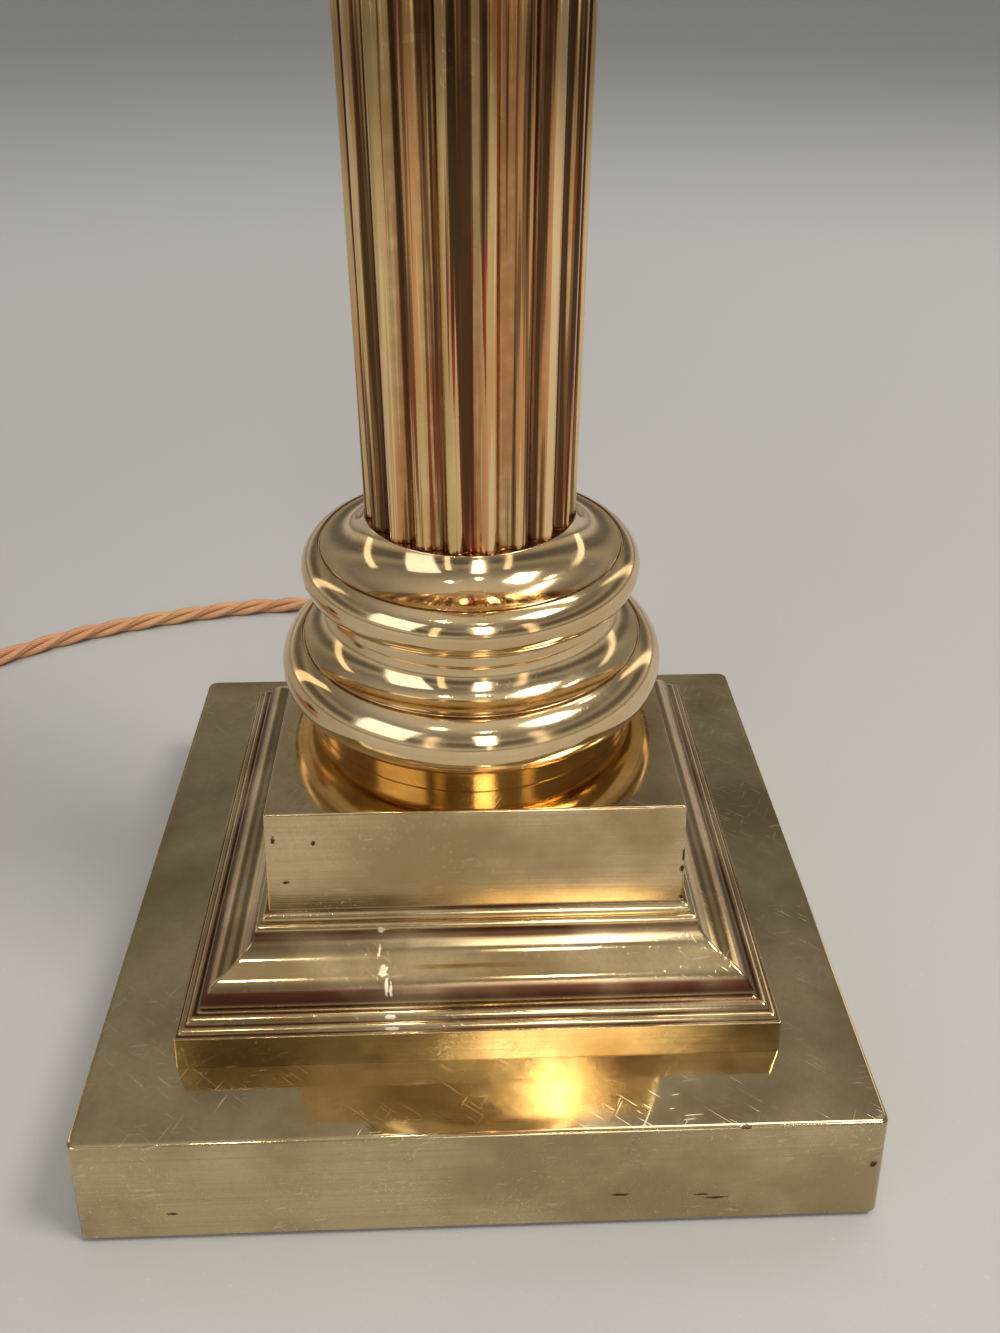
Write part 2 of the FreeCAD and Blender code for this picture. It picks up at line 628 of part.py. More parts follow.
def seat_ring():
    turned("seat_ring", [(S.ring_r - S.ring_wall, 0), (S.ring_r, 0), (S.ring_r, S.ring_height),
                         (S.ring_r - S.ring_wall, S.ring_height)], RING_FOOT)


def torus_run(centre_r, section, foot, end_angle):
    """A torus's outside from its underside up to an angle past the horizontal, as two corners."""
    top = math.radians(end_angle)
    bulge = math.tan(math.radians((90 + end_angle) / 4))
    return [(centre_r, foot, bulge),
            (centre_r + section * math.cos(top), foot + section * (1 + math.sin(top)))]


def incised(corner):
    """The corners of an incised line just inside a corner."""
    r, z = corner[:2]
    return [(r, z - S.groove_depth), (r - S.groove_width, z - S.groove_depth)]


def column_base():
    """Lower torus, scotia, upper torus and a flared top, with a spigot inside the tube."""
    low = torus_run(S.low_torus_r, S.low_torus_section, as_size(0), 80)
    up = torus_run(S.up_torus_r, S.up_torus_section, BASE_UPPER, 84)
    outline = [(S.base_bore_r, 0)] + low + incised(low[1]) + [
        (low[1][0] - S.groove_width, BASE_GROOVE, -QUARTER),
        (S.neck_r, BASE_GROOVE + S.scotia_low_rise, -0.315),
        (S.scotia_lip, BASE_FILLET),
        (S.line_fillet_r, BASE_FILLET),
        (S.line_fillet_r, BASE_UPPER)] + up + incised(up[1]) + [
        (up[1][0] - S.groove_width, BASE_HEIGHT - S.flare_rise, -0.36),
        (S.flare_top_r, BASE_HEIGHT),
        (SPIGOT_R, BASE_HEIGHT),
        (SPIGOT_R, BASE_HEIGHT + S.spigot_height),
        (S.base_bore_r, BASE_HEIGHT + S.spigot_height)]
    turned("column_base", outline, BASE_FOOT)


# ---------------------------------------------------------------- fluted tube

def wave(shaft_r, flute_depth, ridge_r, inset):
    """One closed wave round the tube: ridges and flutes as tangent arcs, drawn in by inset."""
    step = 2 * math.pi / FLUTES
    valley_r = shaft_r - flute_depth
    ridge_at = shaft_r - ridge_r
    lean = math.cos(step / 2)
    flute_r = ((ridge_r ** 2 - valley_r ** 2 - ridge_at ** 2 + 2 * ridge_at * valley_r * lean)
               / (2 * (valley_r - ridge_at * lean - ridge_r)))
    flute_at = valley_r + flute_r

    def polar(radius, angle):
        return Vector(radius * math.cos(angle), radius * math.sin(angle), 0)

    def meet(ridge_angle, flute_angle):
        ridge, flute = polar(ridge_at, ridge_angle), polar(flute_at, flute_angle)
        return ridge + (flute - ridge).normalize() * (ridge_r - inset)

    edges = []
    for index in range(FLUTES):
        angle = index * step
        before, after = meet(angle, angle - step / 2), meet(angle, angle + step / 2)
        following = meet(angle + step, angle + step / 2)
        edges.append(Part.Arc(before, polar(shaft_r - inset, angle), after).toShape())
        edges.append(Part.Arc(after, polar(valley_r - inset, angle + step / 2), following).toShape())
    return Part.Wire(edges)


def column_shaft():
    """A thin drawn tube with flutes all round; a flute faces the front."""
    sizes = [S.shaft_r.value, S.flute_depth.value, S.ridge_r.value]
    ring = Part.makeFace([wave(*sizes, 0.0), wave(*sizes, S.tube_wall.value)], "Part::FaceMakerBullseye")
    tube = doc.addObject("Part::Feature", "fluted_tube")
    tube.Shape = ring.extrude(Vector(0, 0, S.shaft_length.value))
    tube.Placement = Placement(Vector(0, 0, SHAFT_FOOT.value), Rotation(Vector(0, 0, 1), 180 / FLUTES))
    keep(tube, "column_shaft")


# ---------------------------------------------------------------- capital

def bell_radius(level):
    """The bell's outside radius at a height over its foot: straight to the waist, then flaring."""
    waist = 0.5 * S.bell_height.value
    if level <= waist:
        return S.bell_foot_r.value + (S.bell_waist_r.value - S.bell_foot_r.value) * level / waist
    rise = (level - waist) / (S.bell_height.value - waist)
    return S.bell_waist_r.value + (S.bell_lip_r.value - S.bell_waist_r.value) * rise ** 2


def capital_bell():
    astragal = S.astragal_section
    outline = [
        (S.bell_bore_r, -S.spigot_height),
        (SPIGOT_R, -S.spigot_height),
        (SPIGOT_R, 0),
        (S.shaft_r + 0.2 * astragal, 0, HALF),
        (S.shaft_r + 0.2 * astragal, 2 * astragal),
        (S.bell_foot_r, 2 * astragal),
        (S.bell_waist_r, 0.5 * S.bell_height, -0.12),
        (S.bell_lip_r - 1.0, S.bell_height - 2.0),
        (S.bell_lip_r, S.bell_height - 1.6),
        (S.bell_lip_r, S.bell_height),
        (S.bell_bore_r, S.bell_height)]
    turned("capital_bell", outline, CAPITAL_FOOT)


def leaf(foot, height, width, thick):
    """An acanthus leaf: it hugs the bell, swells in three lobes and curls over at its tip.
    Each section is a strip curved about the bell, lofted along the leaf's rib."""
    # share of the height, distance off the bell as a share of the height, share of the width
    rib = [(0.00, 0.00, 0.80), (0.16, 0.01, 1.00), (0.32, 0.03, 0.78), (0.48, 0.06, 0.98),
           (0.64, 0.11, 0.74), (0.80, 0.18, 0.88), (1.00, 0.36, 0.50), (0.95, 0.48, 0.28)]
    spine = [Vector(bell_radius(foot + height * up) + 0.12 + height * out, 0, foot + height * up)
             for up, out, share in rib]
    wires = []
    for index, (point, (up, out, share)) in enumerate(zip(spine, rib)):
        ahead = (spine[min(index + 1, len(rib) - 1)] - spine[max(index - 1, 0)]).normalize()
        normal = Vector(ahead.z, 0, -ahead.x)
        across = Vector(0, 0.5 * width * share, 0)
        sag = normal * (point.x - math.sqrt(point.x ** 2 - across.y ** 2))
        skin = normal * thick * (1.0 - 0.04 * index)
        left, right = point - sag - across, point - sag + across
        wires.append(Part.Wire([
            Part.Arc(left, point, right).toShape(),
            Part.makeLine(right, right + skin * 0.7),
            Part.Arc(right + skin * 0.7, point + skin, left + skin * 0.7).toShape(),
            Part.makeLine(left + skin * 0.7, left)]))
    return Part.makeLoft(wires, True, True)


def leaf_ring(label, foot, height, width, first_angle):
    one = leaf(foot.value, height.value, width.value, S.leaf_thick.value)
    copies = []
    for index in range(LEAVES):
        copy = one.copy()
        copy.rotate(Vector(), Vector(0, 0, 1), first_angle + 360 / LEAVES * index)
        copies.append(copy)
    ring = doc.addObject("Part::Feature", label + "_ring")
    ring.Shape = Part.makeCompound(copies)
    ring.Placement = Placement(Vector(0, 0, CAPITAL_FOOT.value), Rotation())
    keep(ring, label)


def spiral_band(crest, outer, band):
    """The face of a band that winds in from a crest: half circles, each a step smaller than the one
    before, and the same half circles smaller by the band's width."""
    step = 0.58 * band
    outside, inside = [], []
    point, radius, sign = crest, outer, 1
    for half_turn in range(3):
        centre = point - Vector(0, 0, sign * radius)
        for arcs, reach in ((outside, radius), (inside, radius - 0.7 * band)):
            arcs.append(Part.Arc(centre + Vector(0, 0, sign * reach), centre + Vector(sign * reach, 0, 0),
                                 centre - Vector(0, 0, sign * reach)))
        point, radius, sign = centre - Vector(0, 0, sign * radius), radius - step, -sign
    ends = [Part.LineSegment(inside[0].StartPoint, outside[0].StartPoint),
            Part.LineSegment(outside[-1].EndPoint, inside[-1].EndPoint)]
    edges = [edge.toShape() for edge in outside + inside + ends]
    return Part.Face(Part.Wire(Part.__sortEdges__(edges))), centre


def thick(face, depth):
    """A face that lies in the XZ plane, extruded to both sides."""
    block = face.extrude(Vector(0, depth, 0))
    block.translate(Vector(0, -depth / 2, 0))
    return block


def corner_volutes():
    """Four scrolls under the corners of the abacus: a stem rises from behind the leaves and winds in
    round a raised eye, over a thinner web."""
    outer, band, depth = S.scroll_r.value, S.scroll_band.value, S.scroll_thick.value
    top = S.bell_height.value - 0.2
    eye = Vector(S.abacus_reach.value - outer - 1.5, 0, top - outer)
    foot_z = LEAF_RISE.value + S.low_leaf_height.value + 4.5
    foot = Vector(bell_radius(foot_z) + 0.7, 0, foot_z)
    crest_out, crest_in = eye + Vector(0, 0, outer), eye + Vector(0, 0, outer - 1.3 * band)
    foot_out = foot + Vector(0.8 * band, 0, 0)
    rise_out = Vector(bell_radius(top - 4.0) + 1.9, 0, top - 4.0)
    rise_in = rise_out + Vector(0.9 * band, 0, -1.0 * band)
    stem = Part.Face(Part.Wire([
        Part.Arc(foot, rise_out, crest_out).toShape(),
        Part.makeLine(crest_out, crest_in),
        Part.Arc(crest_in, rise_in, foot_out).toShape(),
        Part.makeLine(foot_out, foot)]))
    scroll, middle = spiral_band(crest_out, outer, band)
    web = Part.Face(Part.Wire(Part.makeCircle(outer - 0.5 * band, eye, Vector(0, 1, 0))))
    button = Part.Face(Part.Wire(Part.makeCircle(0.8 * band, middle, Vector(0, 1, 0))))
    body = thick(web, 0.6 * depth).multiFuse([
        thick(stem, depth), thick(scroll, depth), thick(button, depth)]).removeSplitter()
    copies = []
    for index in range(4):
        copy = body.copy()
        copy.rotate(Vector(), Vector(0, 0, 1), 45 + 90 * index)
        copies.append(copy)
    made = doc.addObject("Part::Feature", "volute_set")
    made.Shape = Part.makeCompound(copies)
    made.Placement = Placement(Vector(0, 0, CAPITAL_FOOT.value), Rotation())
    keep(made, "corner_volutes")


def abacus_outline(inset):
    """A square with hollow sides and cut corners, as corners with bulges, drawn in by inset."""
    reach = (S.abacus_reach - inset) / math.sqrt(2)
    horn = S.abacus_horn / math.sqrt(2)
    near, far = reach - horn, reach + horn
    run, dip = near.value, far.value - (S.abacus_waist - inset).value
    bulge = -dip / run
    return [(near, -far), (far, -near, bulge), (far, near), (near, far, bulge), (-near, far),
            (-far, near, bulge), (-far, -near), (-near, -far, bulge)]


def capital_abacus():
    body = new_body("capital_abacus")
    lower = draw(new_sketch(body, "XY_Plane", "abacus_lower"), abacus_outline(S.abacus_step))
    feature(body, "Pad", "abacus_lower_tier", lower, Length=S.abacus_low)
    upper = new_sketch(body, "XY_Plane", "abacus_upper")
    upper.AttachmentOffset = Placement(Vector(0, 0, S.abacus_low.value), Rotation())
    upper.setExpression("AttachmentOffset.Base.z", S.abacus_low.text)
    draw(upper, abacus_outline(as_size(0)))
    feature(body, "Pad", "abacus_upper_tier", upper, Length=S.abacus_up)
    bored(body, "abacus_hole", circles=[(0, 0, ROD_HOLE)], Type="ThroughAll", Reversed=True)
    lift(body, ABACUS_FOOT)
    keep(body, "capital_abacus")


def abacus_flowers():
    """A small flower at the middle of each side: five round petals about a raised button."""
    crown_r, cleft_r = 0.90 * S.flower_r.value, 0.66 * S.flower_r.value
    face_at, petal_thick = S.abacus_waist.value + 0.2, 0.28 * S.flower_r.value
    petals = []
    for petal in range(PETALS):
        before, middle, after = (math.radians(90 + 360 / PETALS * (petal + share))
                                 for share in (-0.5, 0, 0.5))
        first, crown, last = (Vector(face_at, reach * math.cos(angle), reach * math.sin(angle))
                              for reach, angle in ((cleft_r, before), (crown_r, middle), (cleft_r, after)))
        petals.append(Part.Arc(first, crown, last).toShape())
    blossom = Part.Face(Part.Wire(petals)).extrude(Vector(petal_thick, 0, 0))
    button = Part.makeCone(0.36 * S.flower_r.value, 0.16 * S.flower_r.value, 2 * petal_thick,
                           Vector(face_at, 0, 0), Vector(1, 0, 0))
    flower = blossom.fuse(button)
    copies = []
    for side in range(4):
        copy = flower.copy()
        copy.rotate(Vector(), Vector(0, 0, 1), 90 * side)
        copies.append(copy)
    made = doc.addObject("Part::Feature", "flower_set")
    made.Shape = Part.makeCompound(copies)
    made.Placement = Placement(Vector(0, 0, (ABACUS_FOOT + S.abacus_low + S.abacus_up / 2).value), Rotation())
    keep(made, "abacus_flowers")


def top_cap():
    rim = 0.14 * S.cap_height
    turned("top_cap", [
        (ROD_HOLE, 0), (S.cap_r, 0), (S.cap_r, rim, HALF), (S.cap_r, 2 * rim + 0.6),
        (S.cap_r - 1.2, 2 * rim + 0.6, -0.34), (S.cap_neck_r, S.cap_height - rim),
        (S.cap_neck_r + 1.0, S.cap_height - rim, HALF), (S.cap_neck_r + 1.0, S.cap_height),
        (ROD_HOLE, S.cap_height)], CAP_FOOT)


# ---------------------------------------------------------------- rod and nuts

WASHER_FOOT = SLAB_TOP - S.slab_roof - S.washer_thick
NUT_FOOT = WASHER_FOOT - S.nut_thick
ROD_FOOT = NUT_FOOT - S.rod_tail


def tie_rod():
    turned("tie_rod", [(S.rod_bore_r, 0), (S.rod_r, 0), (S.rod_r, HOLDER_FOOT + S.rod_entry - ROD_FOOT),
                       (S.rod_bore_r, HOLDER_FOOT + S.rod_entry - ROD_FOOT)], ROD_FOOT)


def rod_washer():
    turned("rod_washer", [(ROD_HOLE, 0), (S.washer_r, 0), (S.washer_r, S.washer_thick),
                          (ROD_HOLE, S.washer_thick)], WASHER_FOOT)


def hexagon(half):
    corner = half * (2 / math.sqrt(3))
    angles = [math.radians(60 * index) for index in range(6)]
    return [(corner * math.cos(angle), corner * math.sin(angle)) for angle in angles]


def rod_nut():
    body = new_body("rod_nut")
    profile = draw(new_sketch(body, "XY_Plane", "nut_outline"), hexagon(S.nut_half))
    draw_circles(profile, (0, 0, S.rod_r + S.thread_gap))
    feature(body, "Pad", "nut_block", profile, Length=S.nut_thick)
    lift(body, NUT_FOOT)
    keep(body, "rod_nut")


# ---------------------------------------------------------------- lampholder

def holder_cap():
    """The domed cap on the rod, with two holes for the switch bar."""
    wall, neck, bore = S.holder_wall, S.holder_neck_r, S.rod_r + S.thread_gap
    shoulder = S.holder_neck + S.holder_dome
    top = shoulder + S.holder_skirt
    body = turned("holder_cap", [
        (bore, 0), (neck, 0), (neck, S.holder_neck, -0.2), (S.holder_r, shoulder),
        (S.holder_r, top), (S.holder_r - wall, top), (S.holder_r - wall, shoulder, 0.2),
        (neck - wall, S.holder_neck + wall), (bore, S.holder_neck + wall)], HOLDER_FOOT)
    bored(body, "bar_holes", role="YZ_Plane", circles=[(-S.bar_offset, BAR_LEVEL, S.bar_r + S.bar_gap)],
          Length=4 * S.holder_r, SideType="Symmetric")


INSULATOR_FOOT = BARREL_FOOT + S.insulator_sink - S.insulator_height
BAR_LEVEL = INSULATOR_FOOT - HOLDER_FOOT - S.bar_clear - S.bar_r
UNION_TOP = S.barrel_flange + S.union_lip
LAMP_BORE = S.insulator_sink + S.contact_travel + S.bore_gap        # its foot, over the barrel's
BARREL_FOOT_R = S.barrel_r + S.barrel_step


def union_ring():
    inner, outer = BARREL_FOOT_R + S.shade_ring_gap, S.holder_r + S.thread_gap
    foot = UNION_TOP - S.union_height
    turned("union_ring", [
        (outer, foot), (S.union_r, foot), (S.union_r, UNION_TOP), (inner, UNION_TOP),
        (inner, S.barrel_flange), (outer, S.barrel_flange)], BARREL_FOOT)


def holder_barrel():
    """The barrel with two bayonet slots: straight down, then round to a catch. Its bore widens round
    the insulator, and its foot is a little thicker than the part that a shade sits on."""
    top = S.barrel_flange + S.barrel_height
    body = turned("holder_barrel", [
        (S.seat_bore_r, 0), (S.holder_r, 0), (S.holder_r, S.barrel_flange), (BARREL_FOOT_R, S.barrel_flange),
        (BARREL_FOOT_R, LAMP_BORE), (S.barrel_r, LAMP_BORE), (S.barrel_r, top), (S.socket_r, top),
        (S.socket_r, LAMP_BORE), (S.seat_bore_r, LAMP_BORE)], BARREL_FOOT)
    half = S.slot_width / 2
    drop = top - S.slot_depth
    bored(body, "slot_down", role="XZ_Plane", Length=4 * S.barrel_r, SideType="Symmetric", outlines=[
        [(-half, drop - half), (half, drop - half), (half, top + 1), (-half, top + 1)]])
    turn = math.radians(S.slot_turn.value)
    reach = S.barrel_r * math.sin(turn)
    for side, name in ((1, "slot_turn_rear"), (-1, "slot_turn_front")):
        low, high = drop - half, drop + half
        catch = S.slot_catch
        near = reach - S.slot_width
        corners = [(0, low), (side * reach, low), (side * reach, high + catch),
                   (side * near, high + catch), (side * near, high), (0, high)]
        bored(body, name, role="XZ_Plane", Length=2 * S.barrel_r, Reversed=side > 0, outlines=[corners])


CONTACT_BORE = S.contact_r + S.contact_gap
CONTACT_FOOT = S.insulator_height - (S.contact_length - S.contact_travel)
SPRING_FOOT = CONTACT_FOOT - S.spring_length


def holder_insulator():
    body = new_body("holder_insulator")
    outer = draw_circles(new_sketch(body, "XY_Plane", "insulator_outline"),
                         (0, 0, S.seat_bore_r - S.thread_gap))
    feature(body, "Pad", "insulator_block", outer, Length=S.insulator_height)
    wells = new_sketch(body, "XY_Plane", "well_outline")
    wells.AttachmentOffset = Placement(Vector(0, 0, SPRING_FOOT.value), Rotation())
    wells.setExpression("AttachmentOffset.Base.z", SPRING_FOOT.text)
    draw_circles(wells, (-S.contact_pitch / 2, 0, CONTACT_BORE), (S.contact_pitch / 2, 0, CONTACT_BORE))
    feature(body, "Pocket", "contact_wells", wells, Length=S.insulator_height, Reversed=True)
    bored(body, "terminal_holes",
          circles=[(-S.contact_pitch / 2, 0, S.screw_r), (S.contact_pitch / 2, 0, S.screw_r)],
          Length=0.7 * SPRING_FOOT, Reversed=True)
    lift(body, INSULATOR_FOOT)
    keep(body, "holder_insulator")


def contacts():
    """The two sprung plungers that press on the lamp's cap, and the springs under them."""
    for side, name in ((-1, "left"), (1, "right")):
        place = side * S.contact_pitch / 2
        tip = 0.5 * S.contact_r
        shank = cylinder(name + "_shank", S.contact_r, S.contact_length - tip, place, 0,
                         INSULATOR_FOOT + CONTACT_FOOT)
        point = cone(name + "_tip", S.contact_r, 0.45 * S.contact_r, tip, place, 0,
                     INSULATOR_FOOT + CONTACT_FOOT + S.contact_length - tip)
        keep(fuse(name + "_plunger_fuse", shank, point), name + "_plunger")
        outer = cylinder(name + "_spring_outer", S.contact_r, S.spring_length - S.thread_gap, place, 0,
                         INSULATOR_FOOT + SPRING_FOOT)
        inner = cylinder(name + "_spring_inner", S.contact_r - S.spring_wire, S.spring_length, place, 0,
                         INSULATOR_FOOT + SPRING_FOOT)
        keep(cut(name + "_spring_cut", outer, inner), name + "_spring")


def terminal_screws():
    """The two screws under the insulator that hold the live and neutral cores."""
    screws = []
    for side in (-1, 1):
        place = side * S.contact_pitch / 2
        head = cylinder("terminal_head_%d" % (side + 1), 1.5 * S.screw_r, S.screw_r, place, 0,
                        INSULATOR_FOOT - S.screw_r)
        shank = cylinder("terminal_shank_%d" % (side + 1), S.screw_r - S.thread_gap,
                         0.6 * SPRING_FOOT, place, 0, INSULATOR_FOOT)
        screws.append(fuse("terminal_screw_%d" % (side + 1), head, shank))
    keep(group("terminal_screw_pair", *screws), "terminal_screws")


def shade_ring():
    """The ring that holds a shade on the barrel; its rim has a round edge."""
    inner = BARREL_FOOT_R + S.shade_ring_gap
    rim = S.shade_ring_height / 4
    turned("shade_ring", [
        (inner, 0), (S.shade_ring_r - rim, 0, QUARTER), (S.shade_ring_r, rim),
        (S.shade_ring_r, 3 * rim, QUARTER), (S.shade_ring_r - rim, S.shade_ring_height),
        (inner, S.shade_ring_height)],
        BARREL_FOOT + UNION_TOP + S.seat_gap)


def switch_bar():
    """The push bar across the lampholder, with a button on each end."""
    level = HOLDER_FOOT + BAR_LEVEL
    bar = cylinder("bar_rod", S.bar_r, 2 * (S.bar_reach - S.button_length), 0, 0, 0)
    ends = [bar]
    for end, name in ((-1, "left_button"), (1, "right_button")):
        start = -S.bar_reach if end < 0 else S.bar_reach - S.button_length
        ends.append(cylinder(name, S.button_r, S.button_length, 0, 0, 0))
        lay_along_x(ends[-1], start, level)
    lay_along_x(bar, -(S.bar_reach - S.button_length), level)
    keep(fuse("switch_bar_fuse", *ends), "switch_bar")


def lay_along_x(thing, start, level):
    """Turn an upright cylinder along +X, starting at start, in front of the axis."""
    thing.Placement = Placement(Vector(), Rotation(Vector(0, 1, 0), 90))
    thing.setExpression("Placement.Base.x", as_size(start).text)
    thing.setExpression("Placement.Base.y", (-S.bar_offset).text)
    thing.setExpression("Placement.Base.z", level.text)


# ---------------------------------------------------------------- flex

def rounded_route(points, name):
    """Straight runs joined by tangent arcs, each as large as its two runs allow. Prints the least radius."""
    edges, radii = [], []
    here = points[0]
    for before, corner, after in zip(points, points[1:], points[2:]):
        back, ahead = before - corner, after - corner
        turn = math.pi - back.getAngle(ahead)
        shorter = min(back.Length, ahead.Length)
        setback = 0.45 * shorter
        radii.append(setback / math.tan(turn / 2))
        start = corner + back.normalize() * setback
        end = corner + ahead.normalize() * setback
        inward = (back + ahead).normalize()
        middle = corner + inward * (radii[-1] / math.cos(turn / 2) - radii[-1])
        edges.append(Part.makeLine(here, start))
        edges.append(Part.Arc(start, middle, end).toShape())
        here = end
    edges.append(Part.makeLine(here, points[-1]))
    print(name, "least radius %.1f, all" % min(radii), ["%.0f" % radius for radius in radii])
    return Part.Wire(edges)


def swept(wire, radius, name):
    """A round tube along a wire, compared with its section times its length."""
    first = wire.Edges[0]
    start = first.valueAt(first.FirstParameter)
    tangent = first.tangentAt(first.FirstParameter)
    profile = Part.Wire(Part.makeCircle(radius, start, tangent))
    tube = wire.makePipeShell([profile], True, False)
    share = tube.Volume / (math.pi * radius ** 2 * wire.Length)
    print(name, "length %.1f, volume over section times length %.4f" % (wire.Length, share))
    if abs(share - 1) > 0.01:
        raise ValueError(name + " is not a clean tube")
    return tube


def tube_piece(wire, label):
    made = doc.addObject("Part::Feature", label + "_tube")
    made.Shape = swept(wire, S.flex_r.value, label)
    keep(made, label)


def free_flex_points():
    """The route, with its start at the sleeve's tip and its heights on the table."""
    tip = SLAB_BACK.value + S.relief_length.value
    points = [Vector(x, y, max(z, S.flex_r.value)) for x, y, z in FLEX_ROUTE]
    points[0] = Vector(0, tip, S.flex_axis.value)
    return points


def biarc(start, leave, end, arrive):
    """Two arcs that meet smoothly, from a start point and direction to an end point and direction."""
    span = end - start
    total = leave + arrive
    a = 2 * (1 - leave.dot(arrive))
    b = 2 * span.dot(total)
    c = -span.dot(span)
    reach = (-b + math.sqrt(b * b - 4 * a * c)) / (2 * a) if abs(a) > 1e-9 else -c / b
    reach_start, reach_end = start + leave * reach, end - arrive * reach
    joint = (reach_start + reach_end) * 0.5
    edges = []
    for low, corner, high in ((start, reach_start, joint), (joint, reach_end, end)):
        back, ahead = (low - corner), (high - corner)
        half_turn = (math.pi - back.getAngle(ahead)) / 2
        radius = back.Length / math.tan(half_turn)
        inward = (back.normalize() + ahead.normalize()).normalize()
        middle = corner + inward * (radius / math.cos(half_turn) - radius)
        edges.append(Part.Arc(low, middle, high).toShape())
    return edges


COIL_HALF_TURNS = 12                        # half of them go in along the table, half come out above


def coil_wire():
    """Six turns in two layers: half circles that spiral in on the table, climb a layer in the half turn
    where the spiral turns back, and spiral out again on top. Both ends run straight for one diameter."""
    points = free_flex_points()
    entry = points[-1]
    heading = entry - points[-2]
    heading.z = 0
    heading.normalize()
    side = Vector(heading.y, -heading.x, 0)             # from the coil's centre out to the entry
    step = 2 * S.flex_r.value + S.coil_gap.value
    lead = 2 * S.flex_r.value
    start = entry + heading * lead

    def place(along, across, up):
        return start + heading * along + side * across + Vector(0, 0, up)

    edges = [Part.makeLine(entry, start)]
    across, radius, sign, level = 0.0, S.coil_r.value, 1, 0.0
    for half_turn in range(COIL_HALF_TURNS):
        centre = across - sign * radius
        target = centre - sign * radius
        if half_turn == COIL_HALF_TURNS // 2:
            crown = place(sign * radius, centre, step / 2)
            slope = step / (math.pi * radius)
            leave, arrive = heading * sign, heading * -sign
            through = (side * -sign + Vector(0, 0, 1.6 * slope)).normalize()
            edges += biarc(place(0, across, 0), leave, crown, through)
            edges += biarc(crown, through, place(0, target, step), arrive)
            level = step
        else:
            edges.append(Part.Arc(place(0, across, level), place(sign * radius, centre, level),
                                  place(0, target, level)).toShape())
        across, sign = target, -sign
        radius += step / 2 if half_turn >= COIL_HALF_TURNS // 2 else -step / 2
    edges.append(Part.makeLine(place(0, across, level), place(lead, across, level)))
    return Part.Wire(edges), heading, place(lead, across, level)


def least_self_gap(wire, radius):
    """The least gap between parts of a coil that are more than half a turn apart along it."""
    count, loop_r = 900, 20                     # points to measure between, and about a loop's radius
    points = wire.discretize(Number=count)
    spacing = wire.Length / (count - 1)
    skip = int(math.pi * loop_r / spacing)
    least = min(points[i].distanceToPoint(points[j]) for i in range(count) for j in range(i + skip, count))
    return least - 2 * radius


def flex():
    """Inside the slab and the rod, free on the table, coiled, and the short tail to the plug."""
    free = free_flex_points()
    tube_piece(rounded_route(free, "flex_free"), "flex_free")
    wire, heading, leaves = coil_wire()
    print("coil least gap between turns %.2f" % least_self_gap(wire, S.flex_r.value))
    tube_piece(wire, "flex_coil")
    tail = [leaves]
    turned_by = 0.0
    for run in range(3):
        direction = Rotation(Vector(0, 0, 1), turned_by).multVec(heading)
        tail.append(tail[-1] + direction * TAIL_RUN)
        turned_by += TAIL_TURN
    tube_piece(rounded_route(tail, "flex_tail"), "flex_tail")
    inside_tip = SLAB_BACK.value - S.slab_wall.value - 1.5
    bend = ROD_FOOT.value + 0.5 - S.flex_axis.value
    level = S.flex_axis.value
    middle = bend * (1 - math.sqrt(0.5))
    rise = Part.Arc(Vector(0, bend, level), Vector(0, middle, level + middle),
                    Vector(0, 0, level + bend)).toShape()
    top = (HOLDER_FOOT + S.rod_entry).value + 1.0
    inside = Part.Wire([Part.makeLine(Vector(0, inside_tip, level), Vector(0, bend, level)), rise,
                        Part.makeLine(Vector(0, 0, level + bend), Vector(0, 0, top))])
    tube_piece(inside, "flex_inside")
    return tail[-1], direction


def flex_bush():
    """The bush in the rear wall, with its inner lip and the tapered sleeve outside."""
    body = new_body("flex_bush")
    back = SLAB_BACK
    inner = SLAB_BACK - S.slab_wall - 1.5
    barrel = S.bush_r - S.thread_gap
    flange = back + S.slab_flare / S.slab_height * S.bush_flange_r       # clear of the drafted wall
    outline = [(S.flex_r, inner), (barrel, inner), (barrel, flange), (S.bush_flange_r, flange),
               (S.bush_flange_r, flange + 1.5), (S.bush_r, flange + 2.5),
               (S.relief_tip_r, back + S.relief_length), (S.flex_r, back + S.relief_length)]
    profile = draw(new_sketch(body, "XY_Plane", "bush_profile"), outline)
    feature(body, "Revolution", "bush_turned", profile, ReferenceAxis=(profile, ["V_Axis"]), Angle=360)
    lift(body, S.flex_axis)
    keep(body, "flex_bush")


# ---------------------------------------------------------------- plug

def plug_outline(inset):
    """The plug seen from its pins: wide at the cord's end, drawn in towards the earth pin."""
    wide, far = S.plug_half - inset, S.plug_length - inset
    return [(inset, -0.62 * wide, 0), (inset, 0.62 * wide, -0.12), (0.34 * wide, wide),
            (0.52 * S.plug_length, wide, -0.14), (far - 0.2 * wide, 0.70 * wide, -0.2), (far, 0.42 * wide),
            (far, -0.42 * wide, -0.2), (far - 0.2 * wide, -0.70 * wide, -0.14), (0.52 * S.plug_length, -wide),
            (0.34 * wide, -wide, -0.12)]


def place_plug(thing, where, direction, height):
    angle = math.degrees(math.atan2(direction.y, direction.x))
    thing.Placement = Placement(Vector(where.x, where.y, height), Rotation(Vector(0, 0, 1), angle))


